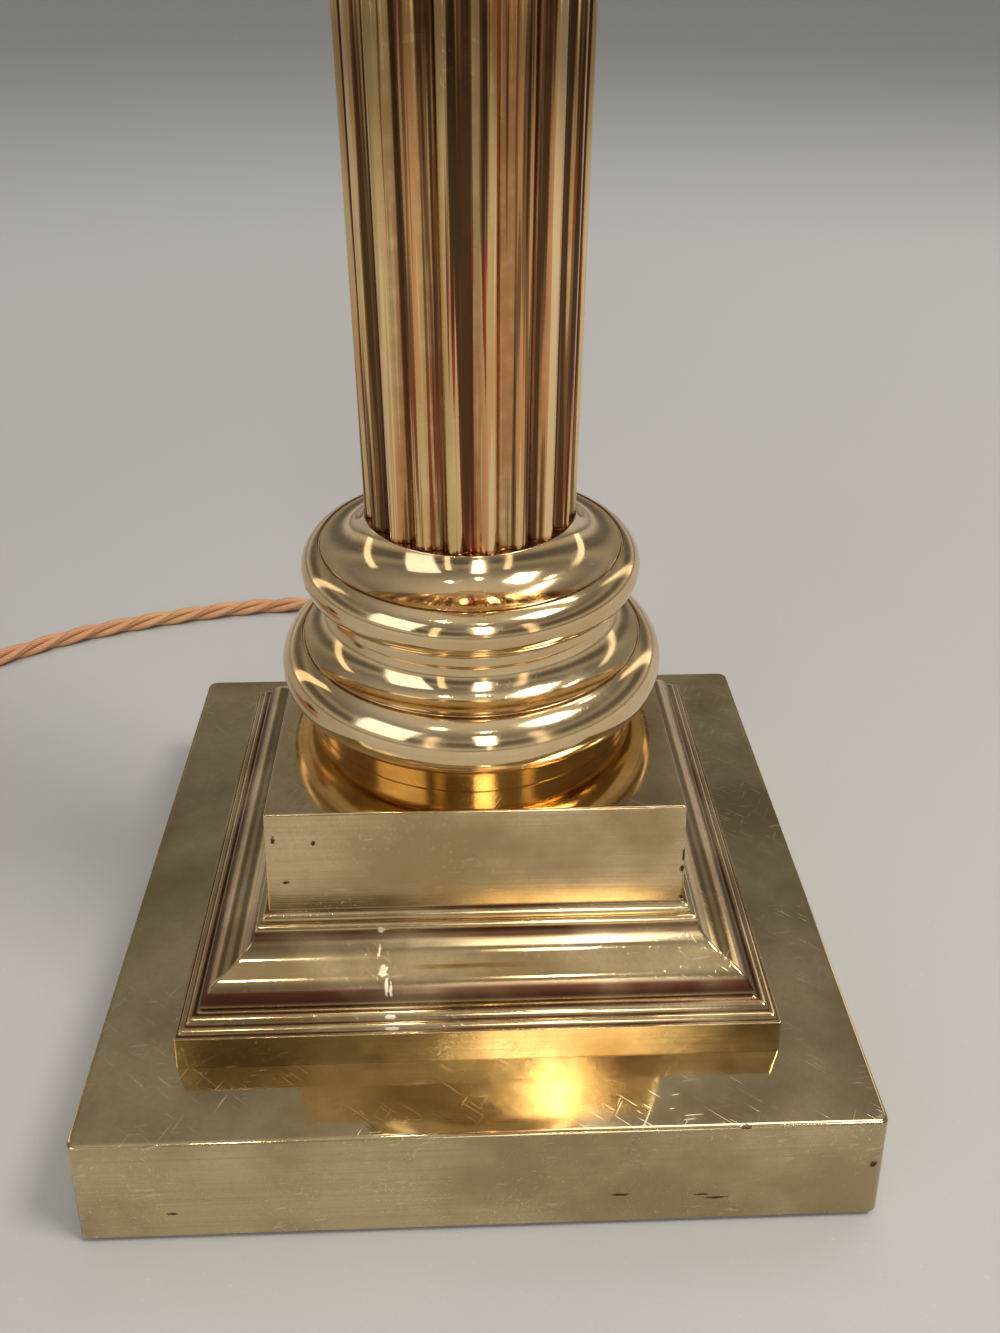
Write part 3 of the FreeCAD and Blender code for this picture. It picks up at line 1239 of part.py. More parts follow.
def plug(where, direction):
    """The plug lies on its cover with its pins up; the cord enters at one end."""
    cover = new_body("plug_cover")
    low = draw(new_sketch(cover, "XY_Plane", "cover_outline"), plug_outline(as_size(0)))
    feature(cover, "Pad", "cover_block", low, Length=S.plug_cover)
    rounded(cover, "cover_rim", lambda ends: max(end.z for end in ends) < 0.01, S.plug_cover / 4)
    place_plug(cover, where, direction, 0.0)
    keep(cover, "plug_cover")
    base = new_body("plug_base")
    high = draw(new_sketch(base, "XY_Plane", "plug_base_outline"), plug_outline(as_size(0)))
    feature(base, "Pad", "plug_base_block", high, Length=S.plug_base)
    rounded(base, "plug_base_rim", lambda ends: min(end.z for end in ends) > S.plug_base.value - 0.01,
            S.plug_base / 10)
    bored(base, "plug_screw_hole", circles=[(S.plug_length / 2, 0, SCREW_HEAD_R)],
          Length=S.plug_base, Reversed=True)
    place_plug(base, where, direction, S.plug_cover.value)
    keep(base, "plug_base")
    face = S.plug_cover.value + S.plug_base.value
    pins = []
    for index, (x, y, wide, deep, tall) in enumerate((
            (S.live_place, S.live_pitch / 2, S.pin_thick, S.live_width, S.live_length),
            (S.live_place, -S.live_pitch / 2, S.pin_thick, S.live_width, S.live_length),
            (S.live_place + S.earth_place, as_size(0), S.earth_width, S.pin_thick, S.earth_length))):
        pins.append(box("plug_pin_%d" % index, (x - wide / 2, y - deep / 2, 0), (wide, deep, tall)))
    pin_set = group("plug_pin_set", *pins)
    place_plug(pin_set, where, direction, face)
    keep(pin_set, "plug_pins")
    screw = cylinder("plug_screw_head", SCREW_HEAD_R - S.thread_gap, S.plug_base - 1.0, 0, 0, 0)
    holder = group("plug_screw_set", screw)
    offset = direction * (S.plug_length.value / 2)
    place_plug(holder, where + offset, direction, S.plug_cover.value)
    keep(holder, "plug_screw")


# ---------------------------------------------------------------- whole lamp

felt_pad()
base_plate()
plate_screws()
base_slab()
flex_grip()
plinth()
seat_ring()
column_base()
column_shaft()
capital_bell()
leaf_ring("lower_leaves", LEAF_RISE, S.low_leaf_height, S.low_leaf_width, 0.0)
leaf_ring("upper_leaves", S.up_leaf_foot, S.up_leaf_height, S.up_leaf_width, 180 / LEAVES)
corner_volutes()
capital_abacus()
abacus_flowers()
top_cap()
tie_rod()
rod_washer()
rod_nut()
holder_cap()
union_ring()
holder_barrel()
holder_insulator()
contacts()
terminal_screws()
shade_ring()
switch_bar()
flex_bush()
plug_at, plug_heading = flex()
plug(plug_at, plug_heading.normalize())

doc.recompute()
for thing in doc.Objects:
    if "Invalid" in thing.State or "Error" in thing.State:
        raise RuntimeError("%s failed: %s" % (thing.Name, thing.State))
os.makedirs("parts", exist_ok=True)
for thing in parts:
    shape = thing.Shape
    if shape.isNull() or not shape.isValid() or not shape.Solids:
        raise RuntimeError(thing.Label + " has no sound solid")
    shape.exportStep("parts/" + thing.Label + ".step")
    print("%-18s %2d solids %10.1f mm3  %s" % (thing.Label, len(shape.Solids), shape.Volume,
          "x %.1f..%.1f y %.1f..%.1f z %.1f..%.1f" % (shape.BoundBox.XMin, shape.BoundBox.XMax,
                                                     shape.BoundBox.YMin, shape.BoundBox.YMax,
                                                     shape.BoundBox.ZMin, shape.BoundBox.ZMax)))
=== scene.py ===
"""The looks of a brass column table lamp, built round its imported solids.

Each sub-assembly is a class: its sizes are fields in millimetres, and its methods work its surfaces
out as whole arrays and dress them.
"""

import logging
import math
from dataclasses import dataclass
from enum import Enum
from typing import Callable, Sequence

import bpy
import numpy as np
from mathutils import Matrix, Vector


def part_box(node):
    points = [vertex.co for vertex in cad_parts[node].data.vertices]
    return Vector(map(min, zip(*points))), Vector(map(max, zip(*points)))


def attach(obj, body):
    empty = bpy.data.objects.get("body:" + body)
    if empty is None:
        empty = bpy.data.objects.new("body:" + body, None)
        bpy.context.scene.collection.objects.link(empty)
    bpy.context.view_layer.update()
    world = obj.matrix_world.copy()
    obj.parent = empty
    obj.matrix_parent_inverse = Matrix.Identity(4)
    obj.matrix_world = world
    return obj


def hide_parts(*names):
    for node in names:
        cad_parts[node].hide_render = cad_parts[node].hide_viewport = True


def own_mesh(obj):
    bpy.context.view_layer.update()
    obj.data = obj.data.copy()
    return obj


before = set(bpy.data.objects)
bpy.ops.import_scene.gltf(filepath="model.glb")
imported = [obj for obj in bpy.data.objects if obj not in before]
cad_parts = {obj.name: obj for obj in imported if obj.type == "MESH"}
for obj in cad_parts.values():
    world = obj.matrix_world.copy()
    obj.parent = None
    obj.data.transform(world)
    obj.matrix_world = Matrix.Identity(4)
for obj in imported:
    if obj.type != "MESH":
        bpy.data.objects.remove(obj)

LOG = logging.getLogger("column_lamp")
MM = 0.001
QUARTER = math.tan(math.radians(22.5))     # bulge of a quarter circle
HALF = 1.0                                 # bulge of a half circle
STRAIGHT = 1e-9                            # an edge with less bulge is straight
HARD_TURN = math.radians(12)               # a corner that turns by less isn't eased
INNER_TURN = -0.2                          # a corner that turns right by more is an inner one, rad
EASE_SHARE = 0.3                           # an easing takes up at most this share of an edge
HOLD_REACH = 1.6                           # a holding point stands this many easings from its corner
HOLD_SHARE = 0.42                          # and at most this share of the edge away
CONCAVE_REACH = 1.1                        # how far tarnish creeps out of an inner corner, mm
KNURL_STEPS = 6                            # points for each tooth of a knurl
KNURL_REACH = 1.2                          # a knurl marks points this near to the widest radius, mm
CORNER_STEPS = 6                           # points round a square's eased upright corner
FLEX_LEVEL = 12.0                          # height of the flex's axis where it leaves the slab, mm
LAMP = "lamp"

Pair = tuple[float, float]
Triple = tuple[float, float, float]
Colour = Place = Triple
Corners = Sequence[tuple[float, ...]]
Levels = Sequence[Pair]                    # (inset, height) of each ring, in mm
Coat = tuple[object, object, object]       # a metal's colour, roughness and normal so far
Socket = bpy.types.NodeSocket


# ---- lines

@dataclass(frozen=True)
class Edge:
    """One edge of an outline, straight or a circle arc that turns by four times the angle whose
    tangent is its bulge (positive turns left)."""

    start: np.ndarray
    end: np.ndarray
    bulge: float

    @property
    def turn(self) -> float:
        """The angle by which the edge turns, in radians."""
        return 4.0 * math.atan(self.bulge)

    @property
    def length(self) -> float:
        """The edge's own length: its chord, or radius times turn.

        Returns:
            The length, in mm.
        """
        chord = float(np.linalg.norm(self.end - self.start))
        if abs(self.bulge) < STRAIGHT:
            return chord
        return abs(chord * (1 + self.bulge ** 2) / (4 * self.bulge) * self.turn)

    def at(self, distance: np.ndarray) -> np.ndarray:
        """Points at distances along the edge: start plus heading times distance on a straight edge,
        and the start turned about the centre by the same share of the turn on an arc.

        Args:
            distance: distances from the start, in mm.
        Returns:
            An array of points, one row each.
        """
        share = (np.asarray(distance, float) / self.length)[:, None]
        chord = self.end - self.start
        if abs(self.bulge) < STRAIGHT:
            return self.start + chord * share
        side = np.array([-chord[1], chord[0]])
        centre = (self.start + self.end) / 2 + side * ((1 - self.bulge ** 2) / (4 * self.bulge))
        spoke = self.start - centre
        angle = self.turn * share
        return centre + np.cos(angle) * spoke + np.sin(angle) * np.array([-spoke[1], spoke[0]])

    def heading(self, share: float) -> np.ndarray:
        """The unit direction of travel at a share of the edge: the chord turned by what is left.

        Args:
            share: 0 at the start and 1 at the end.
        Returns:
            The direction.
        """
        chord = (self.end - self.start) / np.linalg.norm(self.end - self.start)
        angle = self.turn * (share - 0.5)
        return np.array([chord[0] * math.cos(angle) - chord[1] * math.sin(angle),
                         chord[0] * math.sin(angle) + chord[1] * math.cos(angle)])


def trace(corners: Corners, soft: float = 0.25, step: float = 5.0) -> tuple[np.ndarray, np.ndarray]:
    """A closed line through corners, with every hard corner eased by a short quadratic curve and
    held by points beside it, so that smooth shading keeps the flats flat.

    Args:
        corners: (u, v), (u, v, bulge) or (u, v, bulge, soft), anticlockwise.
        soft: how far from a corner its easing starts, in mm.
        step: the turn between points on an arc, in degrees.
    Returns:
        The points (n, 2) and, for each, 1 where it sits in an inner corner and 0 elsewhere.
    """
    rows = [tuple(c) + (0.0, soft)[len(c) - 2:] for c in corners]
    places = [np.array(row[:2], float) for row in rows]
    edges = [Edge(places[k], places[(k + 1) % len(rows)], rows[k][2]) for k in range(len(rows))]
    turns, reaches = [], []
    for k, row in enumerate(rows):
        into, out = edges[k - 1].heading(1.0), edges[k].heading(0.0)
        turns.append(math.atan2(into[0] * out[1] - into[1] * out[0], float(into @ out)))
        hard = abs(turns[k]) > HARD_TURN
        shorter = min(edges[k - 1].length, edges[k].length)
        reaches.append(min(row[3], EASE_SHARE * shorter) if hard else 0.0)
    points, hollow = [], []
    for k, edge in enumerate(edges):
        after = (k + 1) % len(rows)
        near, far = reaches[k], reaches[after]
        inner = (turns[k] < INNER_TURN, turns[after] < INNER_TURN)
        holds = [min(max(HOLD_REACH * r, CONCAVE_REACH if i else 0.0), HOLD_SHARE * edge.length)
                 for r, i in zip((near, far), inner)]
        start, stop = (holds[0] if near else 0.0), edge.length - (holds[1] if far else 0.0)
        count = max(2, 1 + math.ceil(abs(math.degrees(edge.turn)) / step))
        along = np.linspace(start, stop, count)
        values = np.zeros(count)
        if near:
            along, values = np.append(near, along), np.append(float(inner[0]), values)
        if far:
            along, values = np.append(along, edge.length - far), np.append(values, float(inner[1]))
        else:
            along, values = along[:-1], values[:-1]
        points.append(edge.at(along))
        hollow.append(values)
        if far:
            t = np.array([[1 / 3], [2 / 3]])
            first, last = points[-1][-1], edges[after].at(np.array([far]))[0]
            points.append((1 - t) ** 2 * first + 2 * t * (1 - t) * places[after] + t ** 2 * last)
            hollow.append(np.full(2, float(inner[1])))
    return np.concatenate(points), np.concatenate(hollow)


def unit(rows: np.ndarray) -> np.ndarray:
    """Each row at length one."""
    return rows / np.linalg.norm(rows, axis=1, keepdims=True)


def circle(count: int) -> np.ndarray:
    """Angles all the way round, in radians, without the last one, which is the first again."""
    return np.linspace(0, 2 * np.pi, count, endpoint=False)


def smooth_through(knots: Sequence[Sequence[float]], count: int) -> np.ndarray:
    """A smooth line through evenly numbered knots: cubic Hermite pieces whose slope at a knot is
    half the step between its neighbours.

    Args:
        knots: rows of numbers.
        count: how many rows come back.
    Returns:
        An array (count, columns).
    """
    rows = np.asarray(knots, float)
    slopes = np.gradient(rows, axis=0)
    t = np.linspace(0, len(rows) - 1, count)
    k = np.minimum(t.astype(int), len(rows) - 2)
    s = (t - k)[:, None]
    a, b, m, n = rows[k], rows[k + 1], slopes[k], slopes[k + 1]
    return ((2 * s ** 3 - 3 * s ** 2 + 1) * a + (s ** 3 - 2 * s ** 2 + s) * m
            + (3 * s ** 2 - 2 * s ** 3) * b + (s ** 3 - s ** 2) * n)


# ---- skins

@dataclass
class Skin:
    """One or more closed surfaces as whole arrays, in mm.

    Fields: points (n, 3), quads (m, 4), tris (k, 3), groove (n) from 0 in the open to 1 in a hollow,
    and chart (n, 2), a map along and around the surface.
    """

    points: np.ndarray
    quads: np.ndarray
    tris: np.ndarray
    groove: np.ndarray
    chart: np.ndarray | None = None

    def volume(self) -> float:
        """The signed volume: a sixth of each triangle's corners' triple product, added up.

        Returns:
            The volume, in mm3.
        """
        halves = np.concatenate([self.quads[:, [0, 1, 2]], self.quads[:, [0, 2, 3]], self.tris])
        a, b, c = (self.points[halves[:, i]] for i in range(3))
        return float(np.einsum("ij,ij->i", a, np.cross(b, c)).sum() / 6)

    def outward(self) -> "Skin":
        """The same skin with its faces outwards: turned round where the volume is negative.

        Returns:
            The skin itself.
        """
        if self.volume() < 0:
            self.quads, self.tris = self.quads[:, ::-1], self.tris[:, ::-1]
        return self

    def moved(self, turn: np.ndarray, shift: Sequence[float] = (0, 0, 0)) -> "Skin":
        """A copy turned by a 3 by 3 matrix and then shifted."""
        points = self.points @ turn.T + np.asarray(shift, float)
        return Skin(points, self.quads, self.tris, self.groove, self.chart)

    def lifted(self, height: float) -> "Skin":
        """A copy raised by a height."""
        return self.moved(np.eye(3), (0, 0, height))

    def repeated(self, count: int, first: float = 0.0) -> "Skin":
        """Copies round the Z axis, evenly spaced, the first one turned by first degrees."""
        return join([self.moved(turn_z(first + 360.0 * k / count)) for k in range(count)])


def join(skins: Sequence[Skin]) -> Skin:
    """Several skins as one, their faces renumbered by the points before them.

    Args:
        skins: the skins.
    Returns:
        The joined skin.
    """
    starts = np.cumsum([0] + [len(s.points) for s in skins[:-1]])
    charts = [s.chart for s in skins]
    return Skin(
        np.concatenate([s.points for s in skins]),
        np.concatenate([s.quads + k for s, k in zip(skins, starts)]),
        np.concatenate([s.tris + k for s, k in zip(skins, starts)]),
        np.concatenate([s.groove for s in skins]),
        None if charts[0] is None else np.concatenate(charts))


def turn_z(degrees: float) -> np.ndarray:
    """The matrix that turns about the Z axis."""
    c, s = math.cos(math.radians(degrees)), math.sin(math.radians(degrees))
    return np.array([[c, -s, 0], [s, c, 0], [0, 0, 1.0]])


AXIS_TO_Y = np.array([[1.0, 0, 0], [0, 0, 1], [0, -1, 0]])     # a piece turned about Z stands along +Y
AXIS_TO_X = np.array([[0.0, 0, 1], [0, 1, 0], [-1, 0, 0]])     # and along +X


def weave(grid: np.ndarray, groove: np.ndarray | None = None, loop_rows: bool = False,
          chart: np.ndarray | None = None) -> Skin:
    """A closed skin over a grid of points (rows, columns, 3): quads between neighbours, with the
    columns joined in a loop. Rows are joined in a loop too, or a fan to its middle closes each end.

    Args:
        grid: the points, in mm.
        groove: (rows, columns) hollowness, or nothing.
        loop_rows: whether the last row meets the first.
        chart: (rows, columns, 2) map along and around.
    Returns:
        The skin, faces outwards.
    """
    rows, cols = grid.shape[:2]
    i, j = np.meshgrid(np.arange(rows if loop_rows else rows - 1), np.arange(cols), indexing="ij")
    i, j = i.ravel(), j.ravel()
    below, beside = (i + 1) % rows, (j + 1) % cols
    quads = np.stack([i * cols + j, below * cols + j, below * cols + beside, i * cols + beside], axis=1)
    points = grid.reshape(-1, 3)
    values = np.zeros(rows * cols) if groove is None else groove.ravel()
    spread = None if chart is None else chart.reshape(-1, 2)
    tris = np.zeros((0, 3), int)
    if not loop_rows:
        j = np.arange(cols)
        last = (rows - 1) * cols
        first_fan = np.stack([np.full(cols, rows * cols), j, (j + 1) % cols], axis=1)
        last_fan = np.stack([np.full(cols, rows * cols + 1), last + (j + 1) % cols, last + j], axis=1)
        tris = np.concatenate([first_fan, last_fan])
        points = np.concatenate([points, grid[:1].mean(axis=1), grid[-1:].mean(axis=1)])
        values = np.concatenate([values, values[:1], values[-1:]])
        if spread is not None:
            spread = np.concatenate([spread, chart[:1].mean(axis=1), chart[-1:].mean(axis=1)])
    return Skin(points, quads, tris, values, spread).outward()


def swept(middle: np.ndarray, first: np.ndarray, second: np.ndarray, radius: float,
          sides: int) -> np.ndarray:
    """The grid of a round tube: each middle point plus the radius times (cos, sin) of an angle along
    the first and second directions there."""
    ring = circle(sides)[None, :, None]
    return middle[:, None] + radius * (np.cos(ring) * first[:, None] + np.sin(ring) * second[:, None])


def stacked(levels: Levels, plan: Callable[[float], np.ndarray]) -> list[np.ndarray]:
    """Rings of one plan, drawn in and lifted by (inset, height) levels."""
    return [np.c_[plan(inset), np.full(len(plan(inset)), height)] for inset, height in levels]


def turned(corners: Corners, height: float, soft: float = 0.22, sides: int = 168,
           knurl: tuple[float, float, float, int] | None = None) -> Skin:
    """A half outline (radius, height) spun about Z: each point becomes radius times (cos, sin).

    Args:
        corners: the closed half outline, in mm.
        height: how high its foot stands.
        soft: easing of its corners.
        sides: steps round the axis.
        knurl: (lowest, highest, depth, teeth) of a straight knurl: the radius drops by depth times a
            triangle wave of the angle between the two heights.
    Returns:
        The skin.
    """
    line, hollow = trace(corners, soft)
    if knurl:
        sides = KNURL_STEPS * knurl[3]
    angle = circle(sides)
    radius = np.repeat(line[:, :1], sides, axis=1)
    if knurl:
        low, high, depth, teeth = knurl
        wave = np.abs((angle * teeth / (2 * np.pi)) % 1.0 - 0.5) * 2
        inside = (line[:, 1] > low) & (line[:, 1] < high) & (line[:, 0] > line[:, 0].max() - KNURL_REACH)
        radius = radius - depth * inside[:, None] * wave
    grid = np.stack([radius * np.cos(angle), radius * np.sin(angle),
                     np.repeat(line[:, 1:] + height, sides, axis=1)], axis=2)
    return weave(grid, np.repeat(hollow[:, None], sides, axis=1), loop_rows=True)


def mitred(corners: Corners, height: float, corner_r: float, soft: float = 0.22) -> Skin:
    """An outline (half width, height) carried round a square whose corners are eased: a point is the
    corner's centre, at half minus the easing, plus the easing's quarter circle.

    Args:
        corners: the closed outline, in mm.
        height: how high its foot stands.
        corner_r: easing of the upright corners.
        soft: easing of the outline's corners.
    Returns:
        The skin.
    """
    line, hollow = trace(corners, soft)
    half, level = line[:, :1], line[:, 1:]
    ease = np.minimum(corner_r, 0.5 * half)
    quarter = np.linspace(0, np.pi / 2, CORNER_STEPS)
    angle = np.concatenate([np.r_[quarter[0], quarter, quarter[-1]] + k * np.pi / 2 for k in range(4)])
    shift = np.tile(np.r_[-0.5, np.zeros(CORNER_STEPS), 0.5], 4)
    middle = np.repeat((np.arange(4) + 0.5) * np.pi / 2, CORNER_STEPS + 2)
    sign_x, sign_y = np.sign(np.cos(middle)), np.sign(np.sin(middle))
    x = sign_x * (half - ease) + ease * np.cos(angle) - ease * shift * np.sin(angle)
    y = sign_y * (half - ease) + ease * np.sin(angle) + ease * shift * np.cos(angle)
    grid = np.stack([x, y, np.repeat(level + height, len(angle), axis=1)], axis=2)
    return weave(grid, np.repeat(hollow[:, None], len(angle), axis=1), loop_rows=True)


def put(name: str, skin: Skin, finish: "Finish", replaced: Sequence[str], body: str = LAMP,
        sharp: float = 35.0) -> bpy.types.Object:
    """Make an object of a skin, in metres, dress it, and let it ride and stand for its solids.

    Args:
        name: the object's name.
        skin: its surfaces, in mm.
        finish: its finish, which also names the record's material slot.
        replaced: the CAD nodes that it stands for.
        body: the body it moves with.
        sharp: edges that turn by more than this many degrees stay hard.
    Returns:
        The object.
    """
    mesh = bpy.data.meshes.new(name)
    mesh.from_pydata((skin.points * MM).tolist(), [], skin.quads.tolist() + skin.tris.tolist())
    groove = mesh.attributes.new("groove", "FLOAT", "POINT")
    groove.data.foreach_set("value", skin.groove.astype(np.float32))
    if skin.chart is not None:
        corners = np.zeros(len(mesh.loops), np.int32)
        mesh.loops.foreach_get("vertex_index", corners)
        spread = skin.chart[corners]
        mesh.uv_layers.new(name="spread").data.foreach_set("uv", spread.ravel().astype(np.float32))
    mesh.shade_smooth()
    mesh.set_sharp_from_angle(angle=math.radians(sharp))
    mesh.materials.append(finish.made())
    made = bpy.data.objects.new(name, mesh)
    bpy.context.scene.collection.objects.link(made)
    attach(made, body)
    finish.slot
    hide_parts(*replaced)
    LOG.info("%s: %d faces, %.1f cm3", name, len(mesh.polygons), skin.volume() / 1000)
    return made


def foot_of(node: str) -> float:
    """A node's lowest height, in mm."""
    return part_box(node)[0].z / MM


# ---- finishes

class Graph:
    """The node tree of one material, with short calls that add nodes and join them."""

    def __init__(self, name: str) -> None:
        """Start with a shader, an output and the object's own coordinates.

        Args:
            name: the material's name.
        """
        self.material = bpy.data.materials.new(name)
        self.material.use_nodes = True
        self.tree = self.material.node_tree
        self.tree.nodes.clear()
        self.shader = self.node("ShaderNodeBsdfPrincipled")
        output = self.node("ShaderNodeOutputMaterial")
        self.tree.links.new(self.shader.outputs[0], output.inputs[0])
        self.place = self.node("ShaderNodeTexCoord").outputs["Object"]

    def node(self, kind: str, inputs: dict | None = None, **settings: object) -> bpy.types.Node:
        """A new node, with its settings and its inputs, each a value or a socket.

        Args:
            kind: its type.
            inputs: values or sockets, by input.
            settings: its own settings.
        Returns:
            The node.
        """
        made = self.tree.nodes.new(kind)
        for key, value in settings.items():
            setattr(made, key, value)
        for key, value in (inputs or {}).items():
            self.feed(made.inputs[key], value)
        return made

    def feed(self, socket: Socket, value: object) -> None:
        """Join a socket to an input, or set the input's own value."""
        if isinstance(value, Socket):
            self.tree.links.new(value, socket)
        else:
            socket.default_value = value

    def sum(self, kind: str, *values: object) -> Socket:
        """A Math node of one kind over one to three numbers."""
        return self.node("ShaderNodeMath", dict(enumerate(values)), operation=kind).outputs[0]

    def vector(self, kind: str, *values: object) -> bpy.types.Node:
        """A Vector Math node of one kind over one or two vectors."""
        return self.node("ShaderNodeVectorMath", dict(enumerate(values)), operation=kind)

    def stretched(self, scale: Sequence[float], turn: Sequence[float] = (0, 0, 0)) -> Socket:
        """The object's coordinates turned and then scaled, so that a pattern runs long where the scale
        is small.

        Args:
            scale: times a metre, along each axis.
            turn: about each axis, in radians.
        Returns:
            The place to read a pattern at.
        """
        place = self.node("ShaderNodeMapping", {"Vector": self.place, "Rotation": turn},
                          vector_type="POINT").outputs[0]
        return self.vector("MULTIPLY", place, scale).outputs[0]

    def noise(self, scale: float, detail: float = 3.0, rough: float = 0.5,
              where: object = None) -> Socket:
        """Noise from about 0.3 to 0.7, so many times a metre, over the object or another place.

        Args:
            scale: times a metre.
            detail: finer layers.
            rough: how strong those are.
            where: the place, or the object's own.
        Returns:
            The noise.
        """
        where = self.place if where is None else where
        inputs = {"Vector": where, "Scale": scale, "Detail": detail, "Roughness": rough}
        return self.node("ShaderNodeTexNoise", inputs).outputs[0]

    def streaks(self, scale: Sequence[float], detail: float = 1.0, rough: float = 0.5,
                turn: Sequence[float] = (0, 0, 0)) -> Socket:
        """Noise stretched along the axes, or along turned ones: so many times a metre on each."""
        return self.noise(1.0, detail, rough, self.stretched(scale, turn))

    def span(self, value: object, low: float, high: float, first: object = 0.0,
             last: object = 1.0) -> Socket:
        """A number's place between low and high, eased, from first to last."""
        inputs = {"Value": value, "From Min": low, "From Max": high, "To Min": first, "To Max": last}
        return self.node("ShaderNodeMapRange", inputs, interpolation_type="SMOOTHSTEP").outputs[0]

    def mix(self, share: object, first: object, last: object) -> Socket:
        """Two colours mixed by a share."""
        first, last = (c if isinstance(c, Socket) else (*c, 1.0) for c in (first, last))
        return self.node("ShaderNodeMix", {0: share, 6: first, 7: last}, data_type="RGBA").outputs[2]

    def bump(self, height: object, depth: float, under: object = None) -> Socket:
        """A normal bent by a height of a depth in metres, over an earlier one.

        Args:
            height: the height, from 0 to 1.
            depth: what 1 is, in metres.
            under: the earlier normal.
        Returns:
            The bent normal.
        """
        inputs = {"Height": height, "Distance": depth}
        if under is not None:
            inputs["Normal"] = under
        return self.node("ShaderNodeBump", inputs).outputs[0]

    def near(self, point: Sequence[float], size: Sequence[float]) -> Socket:
        """1 at a point, in mm, falling to 0 at the edge of an ellipsoid of the given half sizes, with
        a ragged outline.

        Args:
            point: the middle, in mm.
            size: the half sizes, in mm.
        Returns:
            The nearness.
        """
        away = self.vector("SUBTRACT", self.place, tuple(v * MM for v in point)).outputs[0]
        share = self.vector("MULTIPLY", away, tuple(1 / (v * MM) for v in size)).outputs[0]
        reach = self.vector("LENGTH", share).outputs["Value"]
        ragged = self.sum("MULTIPLY_ADD", self.noise(1400.0), 1.2, self.sum("SUBTRACT", reach, 0.6))
        return self.span(ragged, 0.55, 1.0, 1.0, 0.0)

    def finish(self, **inputs: object) -> bpy.types.Material:
        """Feed the shader's inputs, named with _ for a space, and return the material.

        Args:
            inputs: values or sockets, by input.
        Returns:
            The material.
        """
        for key, value in inputs.items():
            socket = self.shader.inputs[key.replace("_", " ").title()]
            if isinstance(value, tuple) and len(value) == 3 and socket.type == "RGBA":
                value = (*value, 1.0)
            self.feed(socket, value)
        return self.material


@dataclass(frozen=True)
class Mark:
    """A nick, pit or pale mark on the metal: where it is and its half sizes, in mm."""

    point: Triple
    size: Triple
    pale: bool = False


PALE_MARK, PIT, GLINT = (0.86, 0.78, 0.62), (0.10, 0.05, 0.025), (0.95, 0.86, 0.66)
PALE_MARK_DEPTH, PIT_DEPTH, SCRATCH_DEPTH = 0.00003, -0.00015, -0.000010     # metres
# tones of the streaks along the flutes: painted reflections of dark and bright surroundings, with some
# tarnish; cream is a painted highlight
REFLECTED_DARK, BROWN, BURGUNDY = (0.045, 0.022, 0.011), (0.25, 0.125, 0.050), (0.36, 0.050, 0.024)
COPPER, CREAM_HIGHLIGHT = (0.74, 0.37, 0.15), (0.93, 0.68, 0.37)
# the turn of each set of scratches, in radians, and how often it repeats along each axis, per metre
SCRATCHES = (((0.2, 0.1, 0.5), (2300.0, 55.0, 900.0)), ((0.1, -0.3, -0.9), (1900.0, 38.0, 700.0)),
             ((-0.4, 0.2, 2.2), (2600.0, 70.0, 1000.0)), ((0.3, 0.2, 1.5), (1700.0, 90.0, 800.0)))


